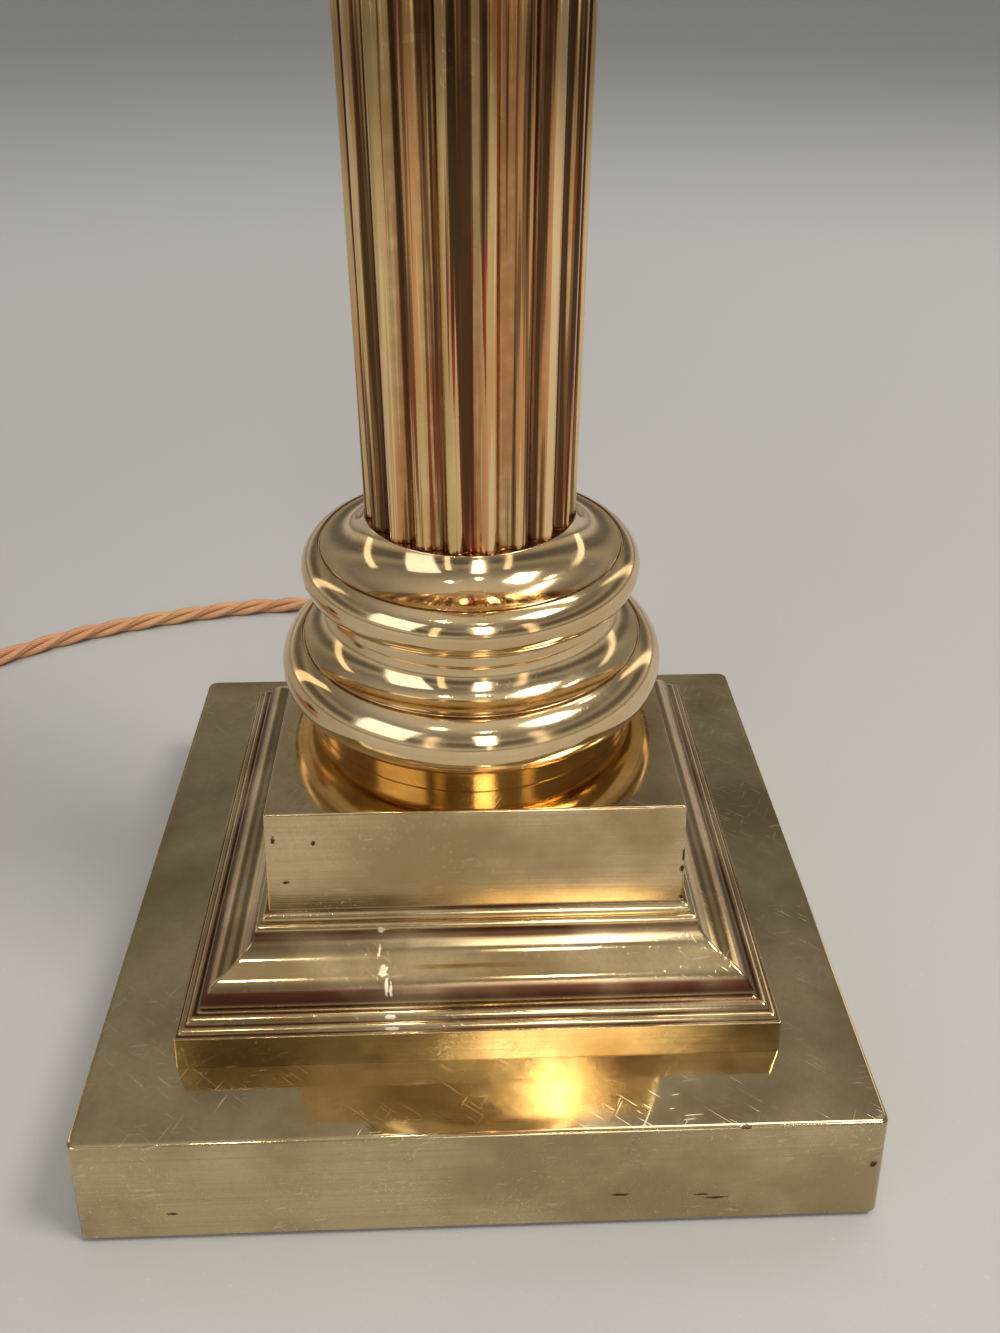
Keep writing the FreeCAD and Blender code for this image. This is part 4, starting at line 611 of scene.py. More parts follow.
@dataclass(frozen=True)
class Brass:
    """A brass finish: its colours, how it was worked and how it has aged."""

    name: str
    bright: Colour = (0.86, 0.67, 0.40)
    deep: Colour = (0.68, 0.50, 0.27)
    tarnish: Colour = (0.16, 0.060, 0.022)
    gloss: float = 0.075
    dull: float = 0.19
    lines: float = 0.0            # depth of brush or turning lines, metres
    line_pitch: float = 0.35      # their pitch, mm
    upright_rough: float = 0.0    # what brushing adds to the roughness of upright faces
    waviness: float = 0.00004     # depth of the slow waves that polishing leaves, metres
    scratches: float = 0.3        # how plainly fine scratches show
    # the flute streaks are painted reflections and highlights, with some tarnish
    flutes: float = 0.0           # how plainly streaks of many tones run along the flutes
    hollows: float = 0.75         # tarnish left in hollows
    blotch: float = 220.0         # how fine its patches are, per metre
    marks: tuple[Mark, ...] = ()

    def build(self) -> bpy.types.Material:
        """The material: patina by slow noise, tarnish by the groove attribute, streaks along the flutes
        that paint reflections and highlights, lines and scratches as bump, and the marks, all in the
        object's own coordinates.

        Returns:
            The material.
        """
        g = Graph("finish_" + self.name)
        patina = g.span(g.noise(26.0, 4.0, 0.55), 0.38, 0.66)
        speckle = g.span(g.noise(900.0, 2.0), 0.40, 0.72)
        colour = g.mix(patina, self.bright, self.deep)
        colour = g.mix(g.sum("MULTIPLY", speckle, 0.18), colour, self.deep)
        rough = g.span(g.noise(60.0, 5.0, 0.6), 0.36, 0.70, self.gloss, self.dull)
        coat = (colour, rough, g.bump(g.noise(70.0, 1.0), self.waviness))
        if self.lines:
            coat = self._lined(g, *coat)
        if self.scratches:
            coat = self._scratched(g, *coat)
        groove = g.node("ShaderNodeAttribute", attribute_name="groove").outputs["Fac"]
        if self.flutes:
            coat = self._flute_reflections(g, groove, *coat)
        colour, rough, normal = self._marked(g, *self._tarnished(g, groove, *coat))
        return g.finish(base_color=colour, metallic=1.0, roughness=rough, normal=normal)

    def _lined(self, g: Graph, colour: object, rough: object, normal: object) -> Coat:
        """Brush or turning lines: noise that is long across and very short up and down. They show on
        upright faces only, because a level face has one height.

        Args:
            g: the graph.
            colour, rough, normal: the coat so far.
        Returns:
            The coat with them.
        """
        brush = g.streaks((9.0, 9.0, 1000.0 / self.line_pitch), 2.0, 0.7)
        facing = g.node("ShaderNodeTexCoord").outputs["Normal"]
        level = g.sum("ABSOLUTE", g.node("ShaderNodeSeparateXYZ", {0: facing}).outputs[2])
        upright = g.span(level, 0.55, 0.95, 1.0, 0.0)
        shade = g.sum("MULTIPLY", g.span(brush, 0.35, 0.70), g.sum("MULTIPLY", upright, 0.35))
        rough = g.sum("MULTIPLY_ADD", upright, self.upright_rough, rough)
        return (g.mix(shade, colour, self.deep), rough,
                g.bump(g.sum("MULTIPLY", brush, upright), self.lines, normal))

    def _scratched(self, g: Graph, colour: object, rough: object, normal: object) -> Coat:
        """Fine scratches: the peaks of noise that is long one way and very short across, in four
        slanting directions, and more of them in some patches than in others.

        Args:
            g: the graph.
            colour, rough, normal: the coat so far.
        Returns:
            The coat with them.
        """
        total = None
        for turn, scale in SCRATCHES:
            line = g.span(g.streaks(scale, 0.0, turn=turn), 0.75, 0.80)
            total = line if total is None else g.sum("MAXIMUM", total, line)
        patch = g.span(g.noise(45.0, 2.0), 0.40, 0.62, 0.15, 1.0)
        total = g.sum("MULTIPLY", g.sum("MULTIPLY", total, patch), self.scratches)
        return (g.mix(g.sum("MULTIPLY", total, 0.6), colour, GLINT),
                g.sum("MULTIPLY_ADD", total, 0.18, rough), g.bump(total, SCRATCH_DEPTH, normal))

    def _flute_reflections(self, g: Graph, groove: object, colour: object, rough: object, normal: object) -> Coat:
        """Painted reflections, with some tarnish, that run up and down the flutes: a sum of fine and
        broad noise, lowered in the hollows, runs from black brown through brown, or here and there
        burgundy, to gold, copper and cream, which is a painted highlight.

        Args:
            g: the graph.
            groove: how deep in a hollow a point lies.
            colour, rough, normal: the coat so far.
        Returns:
            The coat with them.
        """
        fine, broad = g.streaks((760.0, 760.0, 8.0), 2.0, 0.6), g.streaks((250.0, 250.0, 6.0))
        tone = g.sum("ADD", g.sum("MULTIPLY_ADD", fine, 1.1, -1.0), g.sum("MULTIPLY", broad, 0.9))
        tone = g.sum("ADD", tone, g.sum("MULTIPLY_ADD", groove, -0.18, 0.065))
        red = g.span(g.streaks((75.0, 75.0, 9.0)), 0.525, 0.58)
        warm = g.span(g.streaks((110.0, 110.0, 10.0)), 0.49, 0.59)
        # painted reflections: the black-brown tone stands for dark surroundings and cream for bright
        # ones; the browns also carry tarnish
        streaked = g.mix(g.span(tone, -0.15, -0.08), REFLECTED_DARK, g.mix(red, BROWN, BURGUNDY))
        streaked = g.mix(g.span(tone, -0.06, 0.01), streaked, g.mix(warm, colour, COPPER))
        streaked = g.mix(g.span(tone, 0.15, 0.22), streaked, CREAM_HIGHLIGHT)
        return g.mix(self.flutes, colour, streaked), g.sum("MULTIPLY_ADD", groove, 0.03, rough), normal

    def _tarnished(self, g: Graph, groove: object, colour: object, rough: object,
                   normal: object) -> Coat:
        """Tarnish in the hollows, patchy and dull.

        Args:
            g: the graph.
            groove: how deep in a hollow a point lies.
            colour, rough, normal: the coat so far.
        Returns:
            The coat with it.
        """
        patches = g.span(g.noise(self.blotch), 0.30, 0.60, 0.45 * self.hollows, self.hollows)
        crept = g.sum("MULTIPLY", g.span(groove, 0.05, 0.95), patches)
        return g.mix(crept, colour, self.tarnish), g.sum("MULTIPLY_ADD", crept, 0.22, rough), normal

    def _marked(self, g: Graph, colour: object, rough: object, normal: object) -> Coat:
        """The marks: a pale mark stands proud, and a pit or nick is dark and sunk.

        Args:
            g: the graph.
            colour, rough, normal: the coat so far.
        Returns:
            The coat with them.
        """
        for mark in self.marks:
            there = g.near(mark.point, mark.size)
            colour = g.mix(there, colour, PALE_MARK if mark.pale else PIT)
            rough = g.sum("MULTIPLY_ADD", there, 0.35, rough)
            normal = g.bump(there, PALE_MARK_DEPTH if mark.pale else PIT_DEPTH, normal)
        return colour, rough, normal


@dataclass(frozen=True)
class Silk:
    """Braided silk over each core of the flex: two crossing sets of fine slanting threads."""

    name: str = "silk_flex"
    pale: Colour = (0.72, 0.37, 0.19)
    deep: Colour = (0.36, 0.13, 0.055)
    gold: Colour = (0.66, 0.40, 0.16)
    shine: Colour = (1.0, 0.82, 0.62)
    threads: int = 8              # round a core, each way
    thread_run: float = 1.15      # from one to the next along it, mm

    def build(self) -> bpy.types.Material:
        """The material: threads are sines of along plus and minus around on the piece's own map, the
        colour deepens between them as painted shade, and the colour wanders slowly along the flex.

        Returns:
            The material.
        """
        g = Graph("finish_" + self.name)
        chart = g.node("ShaderNodeUVMap", uv_map="spread").outputs[0]
        along, around = g.node("ShaderNodeSeparateXYZ", {0: chart}).outputs[:2]
        along = g.sum("MULTIPLY", along, 2 * math.pi / self.thread_run)
        waves = []
        for sign in (1.0, -1.0):
            slant = g.sum("MULTIPLY_ADD", around, sign * self.threads * 2 * math.pi, along)
            waves.append(g.sum("MULTIPLY_ADD", g.sum("SINE", slant), 0.5, 0.5))
        height = g.sum("MAXIMUM", *waves)
        # thread crests take the pale tone and the creases between threads the deep one: painted shade in
        # the weave
        colour = g.mix(g.span(height, 0.35, 0.95), self.deep, self.pale)
        wander = g.span(g.noise(55.0), 0.40, 0.64)
        colour = g.mix(g.sum("MULTIPLY", wander, 0.55), colour, self.gold)
        fuzz = g.noise(3200.0, 2.0)
        colour = g.mix(g.span(fuzz, 0.35, 0.75, 0.0, 0.35), colour, self.deep)
        normal = g.bump(height, 0.00012, g.bump(fuzz, 0.00004))
        return g.finish(base_color=colour, metallic=0.0, roughness=0.55, normal=normal,
                        sheen_weight=0.45, sheen_roughness=0.35, sheen_tint=self.shine)


@dataclass(frozen=True)
class Plain:
    """A moulded, glazed, plated or felted finish: two tones, roughness, and a fine grain."""

    name: str
    tone: Colour
    other: Colour
    rough: float
    metal: float = 0.0
    grain: float = 400.0          # grain per metre
    depth: float = 0.00002        # its depth, metres
    coat: float = 0.0
    fuzz: float = 0.0

    def build(self) -> bpy.types.Material:
        """The material: slow and fine noise mix the two tones, and the fine one bends the normal.

        Returns:
            The material.
        """
        g = Graph("finish_" + self.name)
        slow = g.span(g.noise(35.0, 4.0), 0.36, 0.66)
        fine = g.noise(self.grain, 3.0, 0.6)
        colour = g.mix(slow, self.tone, self.other)
        colour = g.mix(g.span(fine, 0.40, 0.75, 0.0, 0.30), colour, self.other)
        rough = g.span(fine, 0.30, 0.70, self.rough * 0.8, min(1.0, self.rough * 1.25))
        return g.finish(base_color=colour, metallic=self.metal, roughness=rough,
                        normal=g.bump(fine, self.depth), coat_weight=self.coat, coat_roughness=0.08,
                        sheen_weight=self.fuzz)


SLAB_MARKS = (
    Mark((32.0, -93.3, 11.0), (2.6, 3.0, 0.6)), Mark((54.5, -93.4, 8.9), (3.4, 3.0, 0.5)),
    Mark((51.2, -93.4, 10.2), (2.4, 3.0, 0.4)), Mark((-71.5, -93.3, 9.5), (1.6, 3.0, 0.5)),
    Mark((59.4, -92.0, 32.8), (1.5, 1.2, 0.8)), Mark((90.2, -92.5, 19.0), (1.1, 3.0, 1.3)),
    Mark((-40.0, -68.0, 32.8), (5.0, 3.2, 0.6), True),
)
PLINTH_MARKS = (
    Mark((-46.7, -49.4, 82.5), (0.7, 1.5, 1.9)), Mark((-37.5, -49.4, 81.3), (0.8, 1.5, 1.0)),
    Mark((-44.8, -49.8, 70.0), (1.0, 1.5, 0.7)), Mark((48.6, -49.8, 71.4), (0.8, 1.5, 1.3)),
    Mark((49.2, -49.9, 62.6), (0.6, 1.5, 0.9)), Mark((48.7, -49.0, 75.5), (0.5, 1.5, 2.2)),
    Mark((-23.4, -56.0, 61.3), (1.7, 4.0, 0.8), True), Mark((-23.0, -53.6, 57.6), (1.1, 4.0, 0.9), True),
    Mark((-23.6, -58.5, 54.2), (0.7, 4.0, 1.9), True), Mark((-22.5, -60.5, 51.4), (1.3, 4.0, 0.7), True),
    Mark((-21.7, -62.0, 49.2), (0.6, 4.0, 2.2), True), Mark((-20.7, -62.5, 48.6), (0.5, 4.0, 1.7), True),
    Mark((-20.9, -69.0, 44.4), (1.7, 3.0, 0.6), True), Mark((-20.4, -70.0, 42.7), (1.9, 3.0, 0.5), True),
)


class Finish(Enum):
    """The finishes: one for each of the record's material slots, and another for the plinth."""

    BRASS_SATIN = Brass(
        "brass_satin", bright=(0.64, 0.52, 0.30), deep=(0.41, 0.31, 0.165), gloss=0.065, dull=0.115,
        lines=0.000012, line_pitch=0.9, upright_rough=0.17, waviness=0.000012, scratches=0.5,
        marks=SLAB_MARKS)
    BRASS_PLINTH = Brass(
        "brass_plinth", bright=(0.76, 0.59, 0.34), deep=(0.46, 0.33, 0.165), gloss=0.07, dull=0.13,
        lines=0.000010, line_pitch=0.8, upright_rough=0.06, waviness=0.00002, scratches=0.4,
        hollows=0.97, blotch=24.0, tarnish=(0.070, 0.020, 0.011), marks=PLINTH_MARKS)
    BRASS_POLISHED = Brass("brass_polished", lines=0.0000030, line_pitch=0.6)
    # the streaks along the tube's flutes are painted reflections and highlights
    BRASS_TUBE = Brass(
        "brass_tube", bright=(0.88, 0.64, 0.31), deep=(0.70, 0.47, 0.20), flutes=0.95, hollows=0.40,
        dull=0.15, scratches=0.25)
    BRASS_GOLD = Brass(
        "brass_gold", bright=(0.66, 0.40, 0.14), deep=(0.46, 0.25, 0.075), gloss=0.11, dull=0.20,
        lines=0.0000030)
    BRASS_CAST = Brass(
        "brass_cast", bright=(0.76, 0.60, 0.32), deep=(0.50, 0.37, 0.16), gloss=0.14, dull=0.28,
        waviness=0.0001)
    STEEL = Plain("steel", (0.56, 0.56, 0.55), (0.42, 0.43, 0.44), 0.32, metal=1.0, grain=1500.0,
                  depth=0.00001)
    FELT = Plain("felt", (0.030, 0.075, 0.040), (0.015, 0.045, 0.022), 0.95, grain=2400.0,
                 depth=0.0002, fuzz=0.5)
    PORCELAIN = Plain("porcelain", (0.82, 0.79, 0.72), (0.74, 0.70, 0.62), 0.18, coat=0.5)
    BLACK_PLASTIC = Plain("black_plastic", (0.030, 0.024, 0.022), (0.045, 0.034, 0.028), 0.26, coat=0.3)
    BROWN_PLASTIC = Plain("brown_plastic", (0.085, 0.034, 0.018), (0.050, 0.020, 0.012), 0.28,
                          grain=650.0, coat=0.3)
    SILK_FLEX = Silk()

    @property
    def slot(self) -> str:
        """The record's material slot that it dresses."""
        return "brass_satin" if self is Finish.BRASS_PLINTH else self.value.name

    def made(self) -> bpy.types.Material:
        """The material of this finish, built on its first use."""
        return bpy.data.materials.get("finish_" + self.value.name) or self.value.build()


# ---- camera, floor and light

@dataclass
class Studio:
    """The camera at the photograph's viewing angle, a pale floor and soft light."""

    camera_at: Place = (-0.00270004, -0.24599945, 0.25802297)
    camera_turn: tuple[Place, ...] = (
        (0.99927106, 0.01785063, -0.03374457), (-0.03801402, 0.54640991, -0.83665473),
        (0.00350355, 0.83732763, 0.54669019))
    lens: float = 30.634
    sensor: float = 36.0
    near_clip: float = 0.01
    floor_reach: float = 30.0
    floor_level: float = -0.0001   # just under the felt
    # darker near the lamp and lighter far from it: painted shade and light on the floor
    floor_near: Colour = (0.44, 0.435, 0.43)
    floor_far: Colour = (0.56, 0.56, 0.57)
    floor_speck: Colour = (0.74, 0.75, 0.77)
    # the light from all round, by height from the horizon (0) to straight up (1)
    sky: tuple[tuple[float, Colour], ...] = (
        (0.0, (0.50, 0.46, 0.41)), (0.08, (0.54, 0.48, 0.41)), (0.22, (0.14, 0.13, 0.12)),
        (0.36, (0.12, 0.115, 0.11)), (0.48, (0.36, 0.33, 0.29)), (0.60, (0.20, 0.19, 0.18)),
        (0.80, (0.32, 0.305, 0.285)), (1.0, (0.62, 0.58, 0.52)))
    # every lamp faces this point, in metres
    aim: Place = (0, 0, 0.12)
    # name, place, size, power and colour
    lamps: tuple[tuple[str, Place, Pair, float, Colour], ...] = (
        ("key", (0.76, -0.30, 1.42), (0.42, 0.42), 15.0, (1.0, 0.95, 0.87)),
        ("fill", (-1.2, -0.9, 0.9), (0.9, 1.1), 5.0, (0.90, 0.94, 1.0)),
        ("front", (0.18, -1.5, 1.0), (0.30, 0.9), 4.0, (1.0, 0.97, 0.92)),
        ("back", (0.4, 0.9, 1.9), (1.2, 0.3), 5.0, (1.0, 0.98, 0.95)))
    # upright strips: x, y and width; their reflections run up the tube
    strips: tuple[Place, ...] = ((-0.85, -1.9, 0.20), (0.30, -2.1, 0.12), (1.25, -1.6, 0.24),
                                 (-1.7, 0.9, 0.3), (1.6, 1.2, 0.3))
    strip_level: float = 0.85
    strip_height: float = 1.5
    strip_power: float = 6.0       # for each metre of width
    strip_colour: Colour = (1.0, 0.86, 0.68)
    # small lamps whose reflections sparkle on the rings
    spots: tuple[Place, ...] = (
        (-0.35, -0.55, 1.5), (0.15, -0.9, 1.6), (-0.1, 0.35, 1.7), (0.9, 0.4, 1.5))
    spot_size: float = 0.06
    spot_power: float = 0.9
    spot_colour: Colour = (1.0, 0.93, 0.80)

    def set_camera(self) -> None:
        """The camera, from the fit to the square base."""
        data = bpy.data.cameras.new("camera")
        data.lens = self.lens
        data.sensor_width = self.sensor
        data.clip_start = self.near_clip
        camera = bpy.data.objects.new("camera", data)
        camera.matrix_world = Matrix.Translation(self.camera_at) @ Matrix(self.camera_turn).to_4x4()
        bpy.context.scene.collection.objects.link(camera)
        bpy.context.scene.camera = camera

    def lay_floor(self) -> None:
        """A wide floor painted darker near the lamp and lighter away from it, as painted shade and
        light, with a very fine speckle.
        """
        g = Graph("floor")
        away = g.vector("LENGTH", g.place).outputs["Value"]
        colour = g.mix(g.span(away, 0.30, 1.1), self.floor_near, self.floor_far)
        grain = g.noise(700.0, 4.0, 0.6)
        colour = g.mix(g.span(grain, 0.62, 0.80, 0.0, 0.25), colour, self.floor_speck)
        reach, level = self.floor_reach, self.floor_level
        mesh = bpy.data.meshes.new("floor")
        mesh.from_pydata([(-reach, -reach, level), (reach, -reach, level), (reach, reach, level),
                          (-reach, reach, level)], [], [(0, 1, 2, 3)])
        mesh.materials.append(g.finish(base_color=colour, metallic=0.0, roughness=0.62,
                                       normal=g.bump(grain, 0.00006)))
        floor = bpy.data.objects.new("floor", mesh)
        bpy.context.scene.collection.objects.link(floor)

    def light_world(self) -> None:
        """Light from all round, its tone read off the sky by the height of each direction."""
        world = bpy.data.worlds.new("world")
        world.use_nodes = True
        nodes, links = world.node_tree.nodes, world.node_tree.links
        nodes.clear()
        direction = nodes.new("ShaderNodeTexCoord").outputs["Generated"]
        split = nodes.new("ShaderNodeSeparateXYZ")
        ramp = nodes.new("ShaderNodeValToRGB")
        stops = ramp.color_ramp.elements
        for stop, (place, tone) in zip(stops, (self.sky[0], self.sky[-1])):
            stop.position, stop.color = place, (*tone, 1)
        for place, tone in self.sky[1:-1]:
            stops.new(place).color = (*tone, 1)
        background = nodes.new("ShaderNodeBackground")
        output = nodes.new("ShaderNodeOutputWorld")
        links.new(direction, split.inputs[0])
        links.new(split.outputs[2], ramp.inputs[0])
        links.new(ramp.outputs[0], background.inputs[0])
        links.new(background.outputs[0], output.inputs[0])
        bpy.context.scene.world = world

    def lamp(self, name: str, at: Place, size: Pair, power: float,
             colour: Colour) -> None:
        """A square lamp that faces the column's foot and that the camera doesn't see.

        Args:
            name: its name.
            at: its place, in metres.
            size: its two sides, in metres.
            power: its power, in watts.
            colour: its colour.
        """
        data = bpy.data.lights.new(name, "AREA")
        data.shape = "RECTANGLE"
        data.size, data.size_y = size
        data.energy = power
        data.color = colour
        lamp = bpy.data.objects.new(name, data)
        facing = (Vector(self.aim) - Vector(at)).to_track_quat("-Z", "Y").to_matrix().to_4x4()
        lamp.matrix_world = Matrix.Translation(at) @ facing
        lamp.visible_camera = False
        bpy.context.scene.collection.objects.link(lamp)

    def build(self) -> None:
        """Camera, floor, world and lamps."""
        self.set_camera()
        self.lay_floor()
        self.light_world()
        for row in self.lamps:
            self.lamp(*row)
        for number, (x, y, wide) in enumerate(self.strips):
            self.lamp("strip_%d" % number, (x, y, self.strip_level), (wide, self.strip_height),
                      self.strip_power * wide, self.strip_colour)
        for number, at in enumerate(self.spots):
            self.lamp("spot_%d" % number, at, (self.spot_size, self.spot_size), self.spot_power,
                      self.spot_colour)
        LOG.info("studio: camera, floor, world and lamps")


# ---- flex and plug

def spline_points(name: str, route: Sequence[Sequence[float]], spacing: float = 1.8) -> np.ndarray:
    """Points read from one smooth NURBS spline that has the route as its control points.

    Args:
        name: the curve's name.
        route: control points, in metres.
        spacing: distance between the points that come back, in mm.
    Returns:
        Points along the spline, in mm, evenly spaced by its length.
    """
    data = bpy.data.curves.new(name, "CURVE")
    data.dimensions = "3D"
    spline = data.splines.new("NURBS")
    spline.points.add(len(route) - 1)
    spline.points.foreach_set("co", np.hstack([np.asarray(route), np.ones((len(route), 1))]).ravel())
    spline.order_u = 3
    spline.use_endpoint_u = True
    data.resolution_u = 16
    holder = bpy.data.objects.new(name, data)
    bpy.context.scene.collection.objects.link(holder)
    bpy.context.view_layer.update()
    mesh = bpy.data.meshes.new_from_object(holder)
    line = np.zeros(len(mesh.vertices) * 3)
    mesh.vertices.foreach_get("co", line)
    line = line.reshape(-1, 3) / MM
    bpy.data.objects.remove(holder)
    bpy.data.curves.remove(data)
    bpy.data.meshes.remove(mesh)
    run = np.r_[0, np.cumsum(np.linalg.norm(np.diff(line, axis=0), axis=1))]
    even = np.linspace(0, run[-1], max(2, int(run[-1] / spacing)))
    return np.stack([np.interp(even, run, line[:, k]) for k in range(3)], axis=1)


@dataclass
class Flex:
    """Three silk cores twisted together: from the sleeve over the table to a coil and a plug."""

    radius: float = 3.2
    pitch: float = 45.0           # one turn of the twist
    sides: int = 12
    # control points of the free run, in metres: down from the sleeve, and then lying on the table
    fall: tuple[Place, ...] = ((0, 0.1124, 0.0120), (0, 0.141, 0.0096), (-0.006, 0.163, 0.0054))
    lie: tuple[Pair, ...] = (
        (-0.021, 0.182), (-0.045, 0.194), (-0.072, 0.1985), (-0.097, 0.1965), (-0.119, 0.1915),
        (-0.140, 0.1855), (-0.159, 0.1785), (-0.1775, 0.1695), (-0.197, 0.1555), (-0.222, 0.136),
        (-0.246, 0.112), (-0.264, 0.084))
    coil_radius: float = 45.0
    coil_step: float = 7.0        # from turn to turn
    half_turns: int = 12
    bulge_out: float = 1 / 0.9665  # how far out its control points stand, as a share of its radius
    tail_run: float = 12.0
    tail_turn: float = -12.0
    tail_in: float = 2.0          # how far the flex goes on inside the plug
    bend: float = 10.6            # from the inner bend's corner to where it starts and ends
    half_way: float = 250.0       # a control point's height on the way up

    def route(self) -> list[Place]:
        """The control points of the free run."""
        return [*self.fall, *((x, y, self.radius * MM) for x, y in self.lie)]

    def coil_points(self) -> tuple[list[list[float]], Vector]:
        """Control points of the coil, six for each half turn: half circles that spiral in on the table,
        climb a layer and spiral out on top. Each is a centre plus the radius times (cos, sin).

        Returns:
            The points, in metres, and the direction in which the flex leaves.
        """
        before, entry = (Vector(place) / MM for place in self.route()[-2:])
        heading = entry - before
        heading.z = 0
        heading.normalize()
        side = Vector((heading.y, -heading.x, 0))
        start = entry + heading * 2 * self.radius
        points = []
        across, radius, sign, level = 0.0, self.coil_radius, 1, 0.0
        climbing = self.half_turns // 2
        for half_turn in range(self.half_turns):
            centre = across - sign * radius
            for angle in (15, 45, 75, 105, 135, 165):
                reach, turn = radius * self.bulge_out, math.radians(angle)
                along, out = sign * reach * math.sin(turn), centre + sign * reach * math.cos(turn)
                climb = self.coil_step * (1 - math.cos(turn)) / 2 if half_turn == climbing else 0.0
                place = start + heading * along + side * out + Vector((0, 0, level + climb))
                points.append(list(place * MM))
            level = self.coil_step if half_turn >= climbing else 0.0
            across, sign = centre - sign * radius, -sign
            radius += self.coil_step / 2 if half_turn >= climbing else -self.coil_step / 2
        end = start + side * across + Vector((0, 0, level))
        for run in range(4):
            points.append(list(end * MM))
            turn = math.radians(self.tail_turn * max(0, run - 1))
            direction = Vector((heading.x * math.cos(turn) - heading.y * math.sin(turn),
                                heading.x * math.sin(turn) + heading.y * math.cos(turn), 0))
            end = end + direction * (2 * self.radius if run == 0 else self.tail_run)
        points += [list(end * MM), list((end + direction * self.tail_in) * MM)]
        return points, direction

    def strands(self, line: np.ndarray, reference: Sequence[float]) -> Skin:
        """Three strands twisted round a line, left handed. A strand's middle is the line plus 0.536 of
        the flex's radius towards an angle that turns once in a pitch, and its own section is a circle
        in the plane across it.

        Args:
            line: points along the flex's middle, in mm.
            reference: a direction that the line never follows.
        Returns:
            The strands as one skin, with a map of mm along and share around.
        """
        tangent = unit(np.gradient(line, axis=0))
        side = unit(np.cross(np.asarray(reference, float), tangent))
        up = np.cross(tangent, side)
        run = np.r_[0, np.cumsum(np.linalg.norm(np.diff(line, axis=0), axis=1))]
        chart = np.stack([np.repeat(run[:, None], self.sides, axis=1),
                          np.tile(circle(self.sides) / (2 * np.pi), (len(run), 1))], axis=2)
        inner = self.radius / (1 + 2 / math.sqrt(3))
        skins = []
        for strand in range(3):
            angle = (-2 * np.pi * run / self.pitch + 2 * np.pi * strand / 3)[:, None]
            outward = np.cos(angle) * side + np.sin(angle) * up
            middle = line + (self.radius - inner) * outward
            course = unit(np.gradient(middle, axis=0))
            first = unit(outward - (outward * course).sum(1, keepdims=True) * course)
            grid = swept(middle, first, np.cross(course, first), inner, self.sides)
            skins.append(weave(grid, chart=chart))
        return join(skins)

    def build(self, with_pieces: Sequence[bpy.types.Object]) -> None:
        """The free flex, and the flex inside the lamp, which runs in along the flex's axis, bends up
        round a quarter circle and climbs to its end.

        Args:
            with_pieces: the sleeve and the plug's pieces; not used.
        """
        line = spline_points("flex_line", [*self.route(), *self.coil_points()[0]])
        LOG.info("flex line %.1f mm", float(np.linalg.norm(np.diff(line, axis=0), axis=1).sum()))
        cord = put("flex", self.strands(line, (0, 0, 1)), Finish.SILK_FLEX,
                   ("flex_free", "flex_coil", "flex_tail"), sharp=80)
        end, level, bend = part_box("flex_inside")[1], FLEX_LEVEL * MM, self.bend * MM
        inside = spline_points("inside_line", [
            (0, end.y, level), (0, end.y / 2, level), (0, 2 * bend, level), (0, bend, level),
            (0, 0, level), (0, 0, level + bend), (0, 0, level + 2 * bend),
            (0, 0, self.half_way * MM), (0, 0, end.z)])
        put("flex_within", self.strands(inside, (1, 0, 0)), Finish.SILK_FLEX, ("flex_inside",), sharp=80)


@dataclass
class Sleeve:
    """The bush in the slab's rear wall and its tapered, ribbed sleeve."""

    bore: float = 3.2
    barrel: float = 5.15
    flange: float = 7.6
    flange_thick: float = 1.5
    neck: float = 5.2
    neck_at: float = 2.6          # from the wall
    tip: float = 4.0
    reach: float = 21.5           # how far it stands out of the wall
    plain: Pair = (4.0, 1.6)      # without ribs: at the wall and at the tip
    ribs: int = 6
    # a rib's outline: how deep it is cut, and at which share of the pitch
    rib: tuple[Pair, ...] = ((0.0, 0.0), (0.55, 0.25), (0.60, 0.5), (0.08, 0.7))

    def build(self) -> bpy.types.Object:
        """The sleeve, turned about the flex's axis; grooves between the ribs are cut into the taper.

        Returns:
            Its object.
        """
        low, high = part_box("flex_bush")
        inner, back = low.y / MM, high.y / MM
        wall = back - self.reach
        corners = [(self.bore, inner), (self.barrel, inner), (self.barrel, wall), (self.flange, wall),
                   (self.flange, wall + self.flange_thick, 0.25), (self.neck, wall + self.neck_at)]
        start, stop = wall + self.plain[0], back - self.plain[1]
        pitch = (stop - start) / self.ribs
        for number in range(self.ribs):
            at = start + number * pitch
            outer = self.neck + (self.tip - self.neck) * (at - wall) / (back - wall)
            corners += [(outer - deep, at + share * pitch) for deep, share in self.rib]
        corners += [(self.tip, stop), (self.tip - 0.1, back), (self.bore, back)]
        skin = turned(corners, 0.0, soft=0.3, sides=64).moved(AXIS_TO_Y, (0, 0, FLEX_LEVEL))
        return put("flex_sleeve", skin, Finish.BROWN_PLASTIC, ("flex_bush",))


